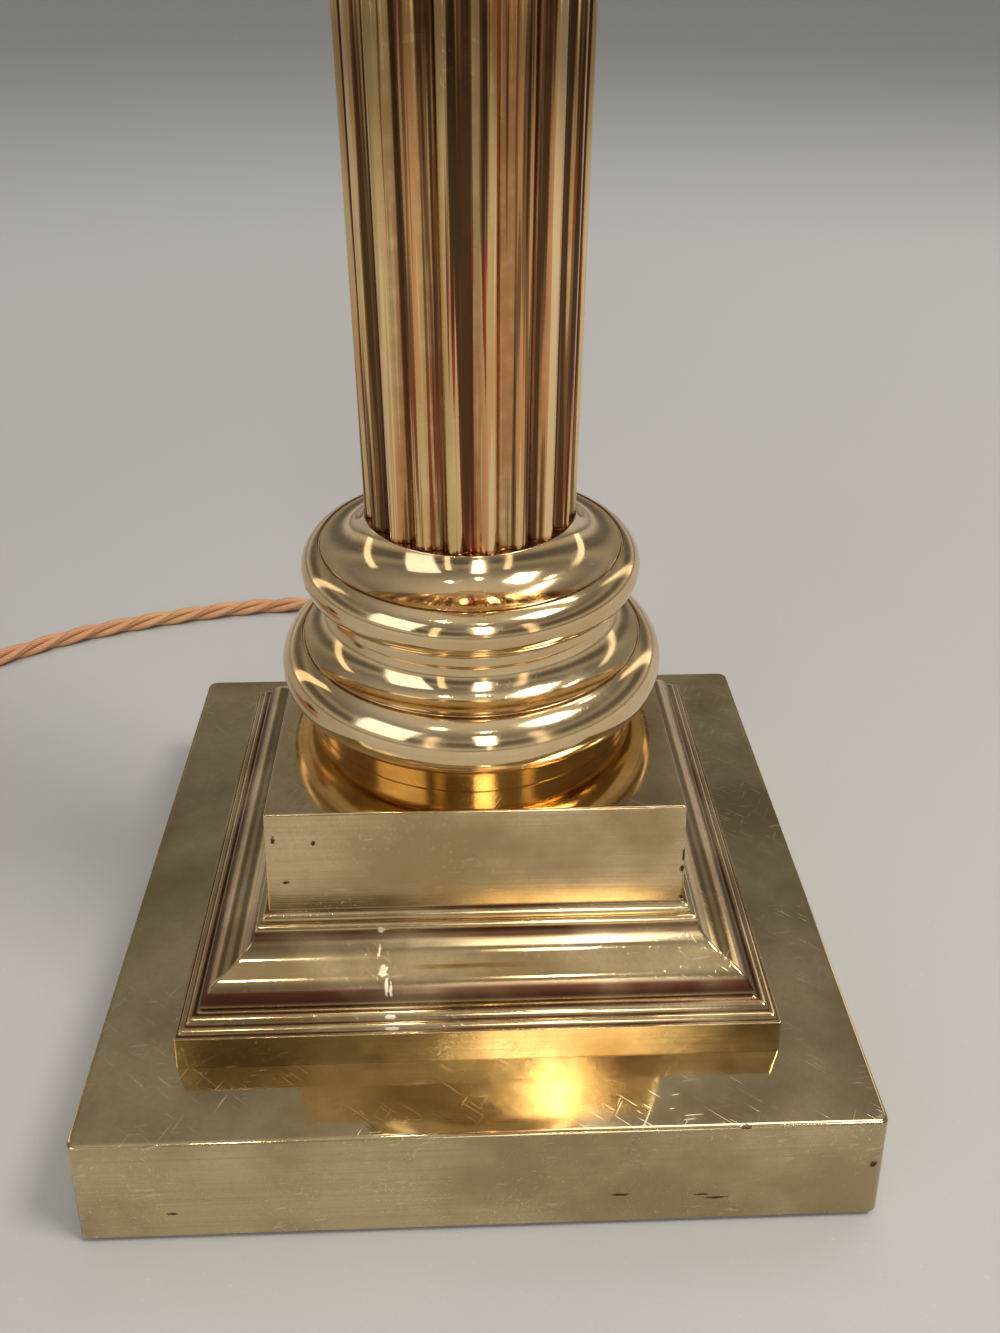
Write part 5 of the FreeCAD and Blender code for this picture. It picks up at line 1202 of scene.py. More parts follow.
@dataclass
class Plug:
    """A three pin plug in two mouldings; it lies on its cover with its pins up."""

    length: float = 50.0
    half: float = 25.0
    cover: float = 10.6
    # rings of the cover's eased face, and of the base with a groove round its foot
    cover_ease: Levels = (
        (10, 0.0), (2.6, 0.0), (2.2, 0.03), (1.3, 0.30), (0.45, 1.1), (0.08, 2.2), (0.0, 2.9))
    base_rings: Levels = (
        (8, 0.0), (0.4, 0.0), (0.15, 0.12), (0.0, 0.45), (0.0, 2.6), (0.35, 3.2), (0.0, 3.7), (0.0, 9.0),
        (0.12, 9.8), (0.5, 10.5), (1.1, 10.92), (1.7, 11.0), (10, 11.0))

    def plan(self, inset: float) -> np.ndarray:
        """The plug's plan, drawn in by an inset, as points from the cord's end.

        Args:
            inset: how far, in mm.
        Returns:
            The points, one row each.
        """
        wide, far = self.half - inset, self.length - inset
        heel, tip, nose = 0.62 * wide, 0.70 * wide, 0.42 * wide
        widest, straight, slope = 0.34 * wide, 0.52 * self.length, far - 0.2 * wide
        corners = [(inset, -heel, 0.12), (widest, -wide, 0), (straight, -wide, 0.14), (slope, -tip, 0.2),
                   (far, -nose, 0), (far, nose, 0.2), (slope, tip, 0.14), (straight, wide, 0),
                   (widest, wide, 0.12), (inset, heel, 0)]
        return trace(corners, soft=1.2, step=6.0)[0]

    def build(self) -> list[bpy.types.Object]:
        """Cover and base at the end of the flex.

        Returns:
            Their objects.
        """
        coil, heading = Flex().coil_points()
        entry = Vector(coil[-2]) / MM
        angle = math.degrees(math.atan2(heading.y, heading.x))
        LOG.info("plug at %.1f %.1f, turned %.1f", entry.x, entry.y, angle)
        top = self.cover
        cover = (*self.cover_ease, (0.0, top - 0.45), (0.15, top - 0.12), (0.4, top), (8, top))
        made = []
        for node, levels, foot in (("plug_cover", cover, 0), ("plug_base", self.base_rings, top)):
            skin = weave(np.stack(stacked(levels, self.plan)))
            skin = skin.moved(turn_z(angle), (entry.x, entry.y, foot))
            made.append(put(node + "_shell", skin, Finish.BROWN_PLASTIC, (node,)))
        return made


# ---- square base

@dataclass
class SquareBase:
    """The drafted slab and the stepped, moulded plinth on it."""

    slab_half: float = 92.0
    slab_flare: float = 2.1
    slab_height: float = 31.3
    slab_wall: float = 7.5
    slab_roof: float = 5.0
    plate: float = 1.6
    ledge: float = 3.5
    fillet_half: float = 71.6
    fillet_height: float = 9.3
    fillet_draft: float = 0.6
    bead: float = 1.3
    ogee_half: float = 65.5
    ogee_run: float = 12.5
    ogee_foot: float = 4.0
    ogee_rise: float = 11.25
    roll: float = 1.6
    die_half: float = 49.75
    die_draft: float = 1.55
    die_height: float = 28.5
    wall: float = 6.0
    rod_hole: float = 5.25
    # bands darkened on the ogee: middle and reach as shares of its rise, and strength
    ogee_bands: tuple[Triple, ...] = ((0.16, 0.14, 1.0), (0.87, 0.07, 0.8))

    def slab(self) -> Skin:
        """The slab's outline from its foot over its top and back inside, carried round the square.

        Returns:
            The skin.
        """
        foot, half, top = self.slab_half + self.slab_flare, self.slab_half, self.slab_height
        inner, seat = half - self.slab_wall, half - self.slab_wall + self.ledge
        return mitred([
            (foot, 0, 0, 0.4), (half, top, 0, 0.85), (self.rod_hole, top),
            (self.rod_hole, top - self.slab_roof), (inner, top - self.slab_roof), (inner, self.plate),
            (seat, self.plate), (seat, 0)], foot_of("base_slab"), 2.2)

    def plinth(self) -> Skin:
        """The plinth's outline: foot fillet, two beads, ogee, thin bead, roll and die; the ogee is
        darkened in two bands.

        Returns:
            The skin.
        """
        bead, level = self.bead, self.fillet_height
        edge = self.fillet_half - self.fillet_draft
        ogee = level + self.ogee_foot
        ogee_top = ogee + self.ogee_rise
        in_half = self.ogee_half - self.ogee_run
        roll_z = ogee_top + 1.2 * bead
        die_z = roll_z + 1.36 * self.roll
        top = die_z + self.die_height
        cavity = self.die_half - self.die_draft - self.wall
        ogee_in, die_foot = self.ogee_half - 0.3 * bead, self.die_half + self.roll
        skin = mitred([
            (self.fillet_half, 0), (edge, level), (edge - 0.6 * bead, level, QUARTER),
            (edge - 1.6 * bead, level + bead), (edge - 1.9 * bead, level + bead, QUARTER),
            (self.ogee_half + 0.7 * bead, level + 2.3 * bead), (ogee_in, level + 2.5 * bead),
            (ogee_in, ogee - 0.4 * bead), (self.ogee_half, ogee, 0.25),
            (self.ogee_half - 0.5 * self.ogee_run, ogee + 0.5 * self.ogee_rise, -0.22),
            (in_half, ogee_top), (in_half, ogee_top + 0.3 * bead, QUARTER),
            (in_half - 0.9 * bead, roll_z), (die_foot, roll_z),
            (die_foot, roll_z + 0.36 * self.roll, QUARTER), (self.die_half, die_z),
            (self.die_half - self.die_draft, top, 0, 0.5), (self.rod_hole, top),
            (self.rod_hole, top - self.wall), (cavity, top - self.wall), (cavity, 2.0), (cavity, 0)],
            foot_of("plinth"), 0.5, soft=0.16)
        rise = (skin.points[:, 2] - foot_of("plinth") - ogee) / self.ogee_rise
        for middle, reach, share in self.ogee_bands:
            band_darkness = share * np.clip(1.5 - np.abs(rise - middle) / reach, 0, 1)
            skin.groove = np.maximum(skin.groove, band_darkness)
        return skin

    def build(self) -> None:
        """Slab and plinth, dressed."""
        put("slab", self.slab(), Finish.BRASS_SATIN, ("base_slab",))
        put("stepped_plinth", self.plinth(), Finish.BRASS_PLINTH, ("plinth",))


# ---- column

@dataclass
class Column:
    """The seat ring, the turned base and the fluted tube."""

    ring_r: float = 41.4
    ring_wall: float = 16.0
    ring_height: float = 6.1
    low_torus: Pair = (39.8, 7.9)          # radius of its section's middle, and of its section
    up_torus: Pair = (35.0, 5.9)
    torus_ends: Pair = (80.0, 84.0)        # the angles where the tori meet what stands on them
    line_angles: Pair = (71.0, 73.0)       # and where the incised lines run
    groove: Pair = (0.7, 0.6)              # how wide and how deep those are
    neck_r: float = 33.9
    rises: Triple = (7.3, 2.6, 2.3)        # of the scotia's two parts and of the thin fillet
    lip_r: float = 36.2
    line_r: float = 36.9
    flare: Pair = (25.2, 7.2)              # radius at its top, and height
    bore_r: float = 16.0
    spigot: float = 9.0
    tube_r: float = 25.0
    flute_depth: float = 1.75
    ridge_r: float = 2.2
    tube_wall: float = 1.3
    tube_length: float = 262.0
    flutes: int = 20
    ridge_steps: int = 9
    flute_steps: int = 11
    spigot_gap: float = 0.2
    scotia_bulge: float = -0.315
    flare_bulge: float = -0.36

    @staticmethod
    def torus(centre: float, section: float, foot: float, end: float) -> list[tuple[float, ...]]:
        """A torus's outside from its underside up to an angle past the horizontal, as two corners.

        Args:
            centre: radius of the section's middle.
            section: the section's radius.
            foot: its lowest height.
            end: that angle, in degrees.
        Returns:
            The corners.
        """
        top = math.radians(end)
        return [(centre, foot, math.tan(math.radians((90 + end) / 4))),
                (centre + section * math.cos(top), foot + section * (1 + math.sin(top)))]

    def incised(self, corner: tuple[float, ...]) -> list[tuple[float, ...]]:
        """The corners of an incised line just inside a corner."""
        wide, deep = self.groove
        return [(corner[0], corner[1] - deep), (corner[0] - wide, corner[1] - deep)]

    def turned_base(self) -> Skin:
        """Lower torus, scotia, thin fillet, upper torus and flared top, with a line incised over each
        torus, and painted shade where the tube stands on it.

        Returns:
            The skin.
        """
        low_end, up_end = self.line_angles
        low = self.torus(*self.low_torus, 0.0, low_end)
        level, rounded = (section * (1 + math.sin(math.radians(end))) for section, end in zip(
            (self.low_torus[1], self.up_torus[1]), self.torus_ends))
        scotia = level + self.rises[0] + self.rises[1]
        upper = scotia + self.rises[2]
        up = self.torus(*self.up_torus, upper, up_end)
        height = upper + rounded + self.flare[1]
        spigot_r = self.tube_r - self.flute_depth - self.tube_wall - self.spigot_gap
        wide = self.groove[0]
        skin = turned([(self.bore_r, 0)] + low + self.incised(low[1]) + [
            (low[1][0] - wide, level, -QUARTER), (self.neck_r, level + self.rises[0], self.scotia_bulge),
            (self.lip_r, scotia), (self.line_r, scotia), (self.line_r, upper),
            *up, *self.incised(up[1]), (up[1][0] - wide, up[1][1] + 0.1, self.flare_bulge),
            (self.flare[0], height), (spigot_r, height), (spigot_r, height + self.spigot),
            (self.bore_r, height + self.spigot)],
            foot_of("column_base"), soft=0.14, sides=224)
        # the ring under the tube is set fully hollow, so it takes the darkest tarnish: painted shade
        # under the tube
        tube_shadow_ring = np.abs(skin.points[:, 2] - foot_of("column_base") - height) < 0.05
        skin.groove[tube_shadow_ring] = 1.0
        return skin

    def wave(self) -> tuple[np.ndarray, np.ndarray]:
        """One closed wave round the tube: ridges and flutes are arcs that meet tangentially.

        Returns:
            The points (n, 2), and how deep each lies in a flute, from 0 to 1.
        """
        step = 2 * np.pi / self.flutes
        valley, ridge_at = self.tube_r - self.flute_depth, self.tube_r - self.ridge_r
        lean = math.cos(step / 2)
        flute_r = ((self.ridge_r ** 2 - valley ** 2 - ridge_at ** 2 + 2 * ridge_at * valley * lean)
                   / (2 * (valley - ridge_at * lean - self.ridge_r)))
        flute_at = (valley + flute_r) * np.array([lean, math.sin(step / 2)])
        toward = flute_at - np.array([ridge_at, 0.0])
        lean_angle = math.atan2(toward[1], toward[0])
        ridge = np.linspace(-lean_angle, lean_angle, self.ridge_steps)
        flute = np.linspace(lean_angle + np.pi, step + np.pi - lean_angle, self.flute_steps)[1:-1]
        one = np.concatenate([
            np.array([ridge_at, 0.0]) + self.ridge_r * np.stack([np.cos(ridge), np.sin(ridge)], axis=1),
            flute_at + flute_r * np.stack([np.cos(flute), np.sin(flute)], axis=1)])
        turns = (np.arange(self.flutes) + 0.5) * step
        c, s = np.cos(turns)[:, None], np.sin(turns)[:, None]
        x, y = one[:, 0] * c - one[:, 1] * s, one[:, 0] * s + one[:, 1] * c
        points = np.stack([x.ravel(), y.ravel()], axis=1)
        depth = (self.tube_r - np.linalg.norm(points, axis=1)) / self.flute_depth
        return points, np.clip(depth, 0, 1)

    def tube(self) -> Skin:
        """The wave drawn up: rings at (height, share of the wall drawn in), outside and then inside.

        Returns:
            The skin.
        """
        points, depth = self.wave()
        away = unit(points)
        length, wall = self.tube_length, self.tube_wall
        levels = [(1.3, 0.0), (0.45, 0.0), (0.12, 0.02), (0.0, 0.12), (0.0, 0.9), (0.1, wall),
                  (1.0, wall), (length - 1, wall), (length, wall), (length, 0.12), (length - 0.12, 0.02),
                  (length - 0.45, 0.0), (length - 1.3, 0.0), (length / 2, 0.0)]
        grid = np.stack([np.c_[points - away * inset, np.full(len(points), level)]
                         for level, inset in levels])
        grid[..., 2] += foot_of("column_shaft")
        groove = np.tile(depth, (len(levels), 1))
        groove[1:-2] = 1.0
        return weave(grid, groove, loop_rows=True)

    def build(self) -> None:
        """Ring, turned base and tube, dressed."""
        inner = self.ring_r - self.ring_wall
        ring = turned([(inner, 0), (self.ring_r, 0), (self.ring_r, self.ring_height),
                       (inner, self.ring_height)], foot_of("seat_ring"), sides=224)
        put("golden_ring", ring, Finish.BRASS_GOLD, ("seat_ring",))
        put("turned_base", self.turned_base(), Finish.BRASS_POLISHED, ("column_base",))
        put("fluted_tube", self.tube(), Finish.BRASS_TUBE, ("column_shaft",), sharp=60)


# ---- capital

@dataclass
class Capital:
    """A leafed capital: bell, two rings of leaves, four scrolls, hollow-sided abacus and flowers."""

    astragal: float = 2.3
    tube_r: float = 25.0
    foot_r: float = 22.6
    waist_r: float = 23.4
    lip_r: float = 29.0
    height: float = 50.0
    bore_r: float = 15.0
    spigot: float = 9.0
    leaf_thick: float = 1.3
    low_leaf: Triple = (5.0, 23.0, 16.6)   # foot, height, width
    up_leaf: Triple = (17.0, 22.0, 14.0)
    leaves: int = 8
    scroll_r: float = 6.2
    band: float = 1.9
    scroll_thick: float = 4.4
    reach: float = 43.0
    horn: float = 3.2
    waist: float = 25.5
    step: float = 1.5
    tiers: Pair = (3.0, 4.0)
    flower_r: float = 5.0
    flower_level: float = 0.5     # its middle, as a share of the upper tier
    spigot_r: float = 21.75
    rod_hole: float = 5.25
    # a leaf's rib and edge, as shares of its height and width: up, out and how wide
    leaf_knots: tuple[Place, ...] = (
        (0.00, 0.00, 0.80), (0.16, 0.01, 1.00), (0.30, 0.03, 0.80), (0.46, 0.06, 1.00),
        (0.60, 0.10, 0.78), (0.76, 0.16, 0.92), (0.90, 0.25, 0.68), (1.00, 0.38, 0.50),
        (0.95, 0.48, 0.16))
    leaf_grid: tuple[int, int] = (72, 25)
    leaf_gap: float = 0.12        # between a leaf and the bell
    lobes: int = 11               # notches and veins up a leaf
    notch: float = 0.13           # how deep the notches are, as a share of the width
    rib: Pair = (0.55, 0.09)      # height, and width as a share
    vein: float = 0.28
    edge_roll: float = 0.35
    wind: float = 3.6             # half turns of a scroll
    shrink: float = 0.72          # share of its radius that the winding takes up
    stem_steps: int = 22
    wind_steps: int = 109
    squareness: float = 0.55      # of the band's section: 1 would make it an ellipse
    web_half: float = 1.5
    button: Pair = (1.45, 2.35)   # the eye's radius and half height
    band_sides: int = 16          # round the band's section
    web_sides: int = 40
    eye_grid: tuple[int, int] = (15, 24)
    flower_grid: tuple[int, int] = (26, 80)

    def foot(self) -> float:
        """The height where the capital stands on the tube, in mm."""
        return foot_of("capital_bell") + self.spigot

    def bell_radius(self, level: np.ndarray) -> np.ndarray:
        """The bell's outside radius at heights over its foot: straight to the waist, then flaring by
        the square of the rise.

        Args:
            level: the heights.
        Returns:
            The radii.
        """
        waist = 0.5 * self.height
        low = self.foot_r + (self.waist_r - self.foot_r) * level / waist
        high = self.waist_r + (self.lip_r - self.waist_r) * np.maximum(0, (level - waist) / waist) ** 2
        return np.where(level <= waist, low, high)

    def bell(self) -> Skin:
        """Half round astragal, bell and lip, with a spigot in the tube.

        Returns:
            The skin.
        """
        bead_r, bead = self.tube_r + 0.2 * self.astragal, 2 * self.astragal
        return turned([
            (self.bore_r, -self.spigot), (self.spigot_r, -self.spigot), (self.spigot_r, 0),
            (bead_r, 0, HALF), (bead_r, bead), (self.foot_r, bead),
            (self.waist_r, 0.5 * self.height, -0.12),
            (self.lip_r - 1.0, self.height - 2.0), (self.lip_r, self.height - 1.6),
            (self.lip_r, self.height), (self.bore_r, self.height)], self.foot())

    def leaf(self, foot: float, height: float, width: float) -> Skin:
        """One acanthus leaf. Its rib climbs the bell and curls over; a row across it is bent about the
        bell, and its front is raised by a middle rib, sunk veins and a rolled edge.

        Args:
            foot: its foot's height over the bell's.
            height: its height.
            width: its width.
        Returns:
            The skin.
        """
        rows, cols = self.leaf_grid
        up, out, share = smooth_through(self.leaf_knots, rows).T
        level = foot + height * up
        spine = np.stack([self.bell_radius(level) + self.leaf_gap + height * out, level], axis=1)
        ahead = unit(np.gradient(spine, axis=0))
        normal = np.stack([ahead[:, 1], -ahead[:, 0]], axis=1)
        v = np.linspace(0, 1, rows)[:, None]
        u = np.linspace(-1, 1, cols)[None]
        ripple = self.lobes * np.pi
        notch = 1 - self.notch * np.abs(np.sin(ripple * v)) * np.clip(8 * v, 0, 1)
        across = 0.5 * width * share[:, None] * u * notch
        sag = spine[:, :1] - np.sqrt(np.maximum(spine[:, :1] ** 2 - across ** 2, 1))
        rib = self.rib[0] * np.exp(-(u / self.rib[1]) ** 2) * (1 - 0.5 * v)
        veins = self.vein * np.cos(ripple * (v + 0.10 * np.abs(u))) * np.abs(u) * np.clip(6 * v, 0, 1)
        roll = self.edge_roll * np.abs(u) ** 3
        front = (self.leaf_thick * (1 - 0.30 * v) - sag + rib + veins + roll - 0.25)
        off = np.concatenate([front, -sag[:, ::-1]], axis=1)
        grid = np.stack([spine[:, :1] + normal[:, :1] * off,
                         np.concatenate([across, across[:, ::-1]], axis=1),
                         spine[:, 1:] + normal[:, 1:] * off], axis=2)
        sunk = np.clip(0.5 - veins * 2.2 - rib * 1.5, 0, 1) * np.clip(3 * (1 - v), 0, 1)
        return weave(grid, np.concatenate([sunk, np.ones_like(sunk) * 0.8], axis=1))

    def leaf_ring(self, sizes: Triple, first: float) -> Skin:
        """A ring of leaves round the bell."""
        return self.leaf(*sizes).repeated(self.leaves, first).lifted(self.foot())

    def scroll_path(self, eye: np.ndarray, top: float) -> np.ndarray:
        """The middle of a scroll's band: a quadratic curve up the stem, and a spiral round the eye
        whose radius shrinks evenly with the angle.

        Args:
            eye: the spiral's middle.
            top: its highest level.
        Returns:
            Points (n, 2), out from the column's axis and up.
        """
        foot_z = self.low_leaf[0] + self.low_leaf[1] + 4.5
        foot = np.array([float(self.bell_radius(np.array(foot_z))) + 1.4, foot_z])
        lean = np.array([float(self.bell_radius(np.array(top - 4.0))) + 2.9, top - 4.6])
        wide = self.scroll_r - self.band / 2
        crest = eye + np.array([0, wide])
        t = np.linspace(0, 1, self.stem_steps)[:, None]
        stem = (1 - t) ** 2 * foot + 2 * t * (1 - t) * (lean + np.array([-0.4, 4.2])) + t ** 2 * crest
        sweep = -self.wind * np.pi
        angle = np.linspace(np.pi / 2, np.pi / 2 + sweep, self.wind_steps + 1)[1:, None]
        radius = wide * (1 - self.shrink * (angle - np.pi / 2) / sweep)
        spiral = eye + radius * np.concatenate([np.cos(angle), np.sin(angle)], axis=1)
        return np.concatenate([stem, spiral])

    def scroll(self) -> Skin:
        """One corner scroll: a rounded band carried along its path, a web between its turns and a
        domed eye.

        Returns:
            The skin.
        """
        top = self.height - 0.2
        eye = np.array([self.reach - self.scroll_r - 1.5, top - self.scroll_r])
        path = self.scroll_path(eye, top)
        course = unit(np.gradient(path, axis=0))
        side = np.stack([course[:, 1], -course[:, 0]], axis=1)
        thin = np.r_[np.linspace(0.55, 1, self.stem_steps), np.linspace(1, 0.5, self.wind_steps)]
        ring = circle(self.band_sides)
        wide = np.sign(np.cos(ring)) * np.abs(np.cos(ring)) ** self.squareness * self.band / 2
        deep = np.sign(np.sin(ring)) * np.abs(np.sin(ring)) ** self.squareness * self.scroll_thick / 2
        x = path[:, :1] + side[:, :1] * wide * thin[:, None]
        z = path[:, 1:] + side[:, 1:] * wide * thin[:, None]
        y = np.repeat(deep[None], len(path), axis=0)
        band = weave(np.stack([x, y, z], axis=2))
        inner, outer, half = 0.4, self.scroll_r - 0.9, self.web_half
        web = turned([(inner, -half), (outer, -half), (outer, half), (inner, half)], 0,
                     sides=self.web_sides)
        web.groove[:] = 1.0
        ball = np.linspace(0.06, np.pi - 0.06, self.eye_grid[0])[:, None]
        spin, (radius, rise) = circle(self.eye_grid[1]), self.button
        out = radius * np.sin(ball)
        button = weave(np.stack([out * np.cos(spin), out * np.sin(spin), rise * np.cos(ball) + 0 * spin],
                                axis=2))
        return join([band, *(part.moved(AXIS_TO_Y, (eye[0], 0, eye[1])) for part in (web, button))])

    def abacus_plan(self, inset: float) -> np.ndarray:
        """A square with hollow sides and cut corners, drawn in by an inset, as points.

        Args:
            inset: how far, in mm.
        Returns:
            The points, one row each.
        """
        reach, horn = (self.reach - inset) / math.sqrt(2), self.horn / math.sqrt(2)
        near, far = reach - horn, reach + horn
        bulge = -(self.reach / math.sqrt(2) + horn - self.waist) / (self.reach / math.sqrt(2) - horn)
        return trace([(near, -far), (far, -near, bulge), (far, near), (near, far, bulge), (-near, far),
                      (-far, near, bulge), (-far, -near), (-near, -far, bulge)],
                     soft=0.35, step=3.0)[0]

    def abacus(self) -> Skin:
        """The plan carried up: lower tier, quirk, upper tier with a hollow under its edge; its top and
        underside run in to the rod's hole, a circle met along the same spokes.

        Returns:
            The skin.
        """
        low, high = self.tiers[0], sum(self.tiers)
        s = self.step
        levels = [(s + 0.5, 0), (s + 0.1, 0.08), (s, 0.35), (s, low - 0.9), (s - 0.2, low - 0.45),
                  (s - 0.8, low - 0.12), (s - 1.35, low + 0.1), (0.05, low + 0.45), (0, low + 0.9),
                  (0, high - 0.5), (0.12, high - 0.15), (0.5, high), (1.0, high)]
        rings = stacked(levels, self.abacus_plan)
        plan = self.abacus_plan(0)
        hole = unit(plan) * self.rod_hole
        rings += [np.c_[hole, np.full(len(plan), level)] for level in (high, 0)]
        hollow = np.zeros((len(rings), len(plan)))
        hollow[3:7] = 0.8
        grid = np.stack(rings)
        grid[..., 2] += foot_of("capital_abacus")
        return weave(grid, hollow, loop_rows=True)

    def flower(self) -> Skin:
        """Five petals round a button: a dome over a disc whose edge goes in and out five times, with
        a crease between the petals.

        Returns:
            The skin.
        """
        rows, cols = self.flower_grid
        v = np.linspace(0.02, 1, rows)[:, None]
        phi = circle(cols)[None]
        petal = np.abs(np.cos(2.5 * (phi - np.pi / 2)))
        edge = self.flower_r * 0.98 * (0.66 + 0.34 * petal ** 0.6)
        dome = 1.5 * (1 - v ** 3) * (0.55 + 0.45 * petal)
        height = dome + 1.0 * np.exp(-(v / 0.25) ** 4) + 0.5 * v * (1 - v) * petal
        top = np.stack([0.4 + height, v * edge * np.cos(phi), v * edge * np.sin(phi)], axis=2)
        under = np.stack([np.full((1, cols), 0.25), edge * np.cos(phi), edge * np.sin(phi)], axis=2)
        grid = np.concatenate([top, under], axis=0)
        crease = np.concatenate([np.clip(1 - 2 * petal, 0, 1) * (v > 0.25), np.ones((1, cols))], axis=0)
        return weave(grid, crease)

    def build(self) -> None:
        """All of the capital, dressed."""
        cast = Finish.BRASS_CAST
        put("bell", self.bell(), Finish.BRASS_POLISHED, ("capital_bell",))
        low, up = self.leaf_ring(self.low_leaf, 0.0), self.leaf_ring(self.up_leaf, 180 / self.leaves)
        put("leaves_low", low, cast, ("lower_leaves",), sharp=70)
        put("leaves_up", up, cast, ("upper_leaves",), sharp=70)
        scrolls = self.scroll().repeated(4, 45).lifted(self.foot())
        put("scrolls", scrolls, cast, ("corner_volutes",), sharp=60)
        put("abacus", self.abacus(), cast, ("capital_abacus",))
        middle = foot_of("capital_abacus") + self.tiers[0] + self.tiers[1] * self.flower_level
        flowers = self.flower().moved(np.eye(3), (self.waist, 0, 0)).repeated(4).lifted(middle)
        put("flowers", flowers, cast, ("abacus_flowers",), sharp=60)


# ---- lampholder

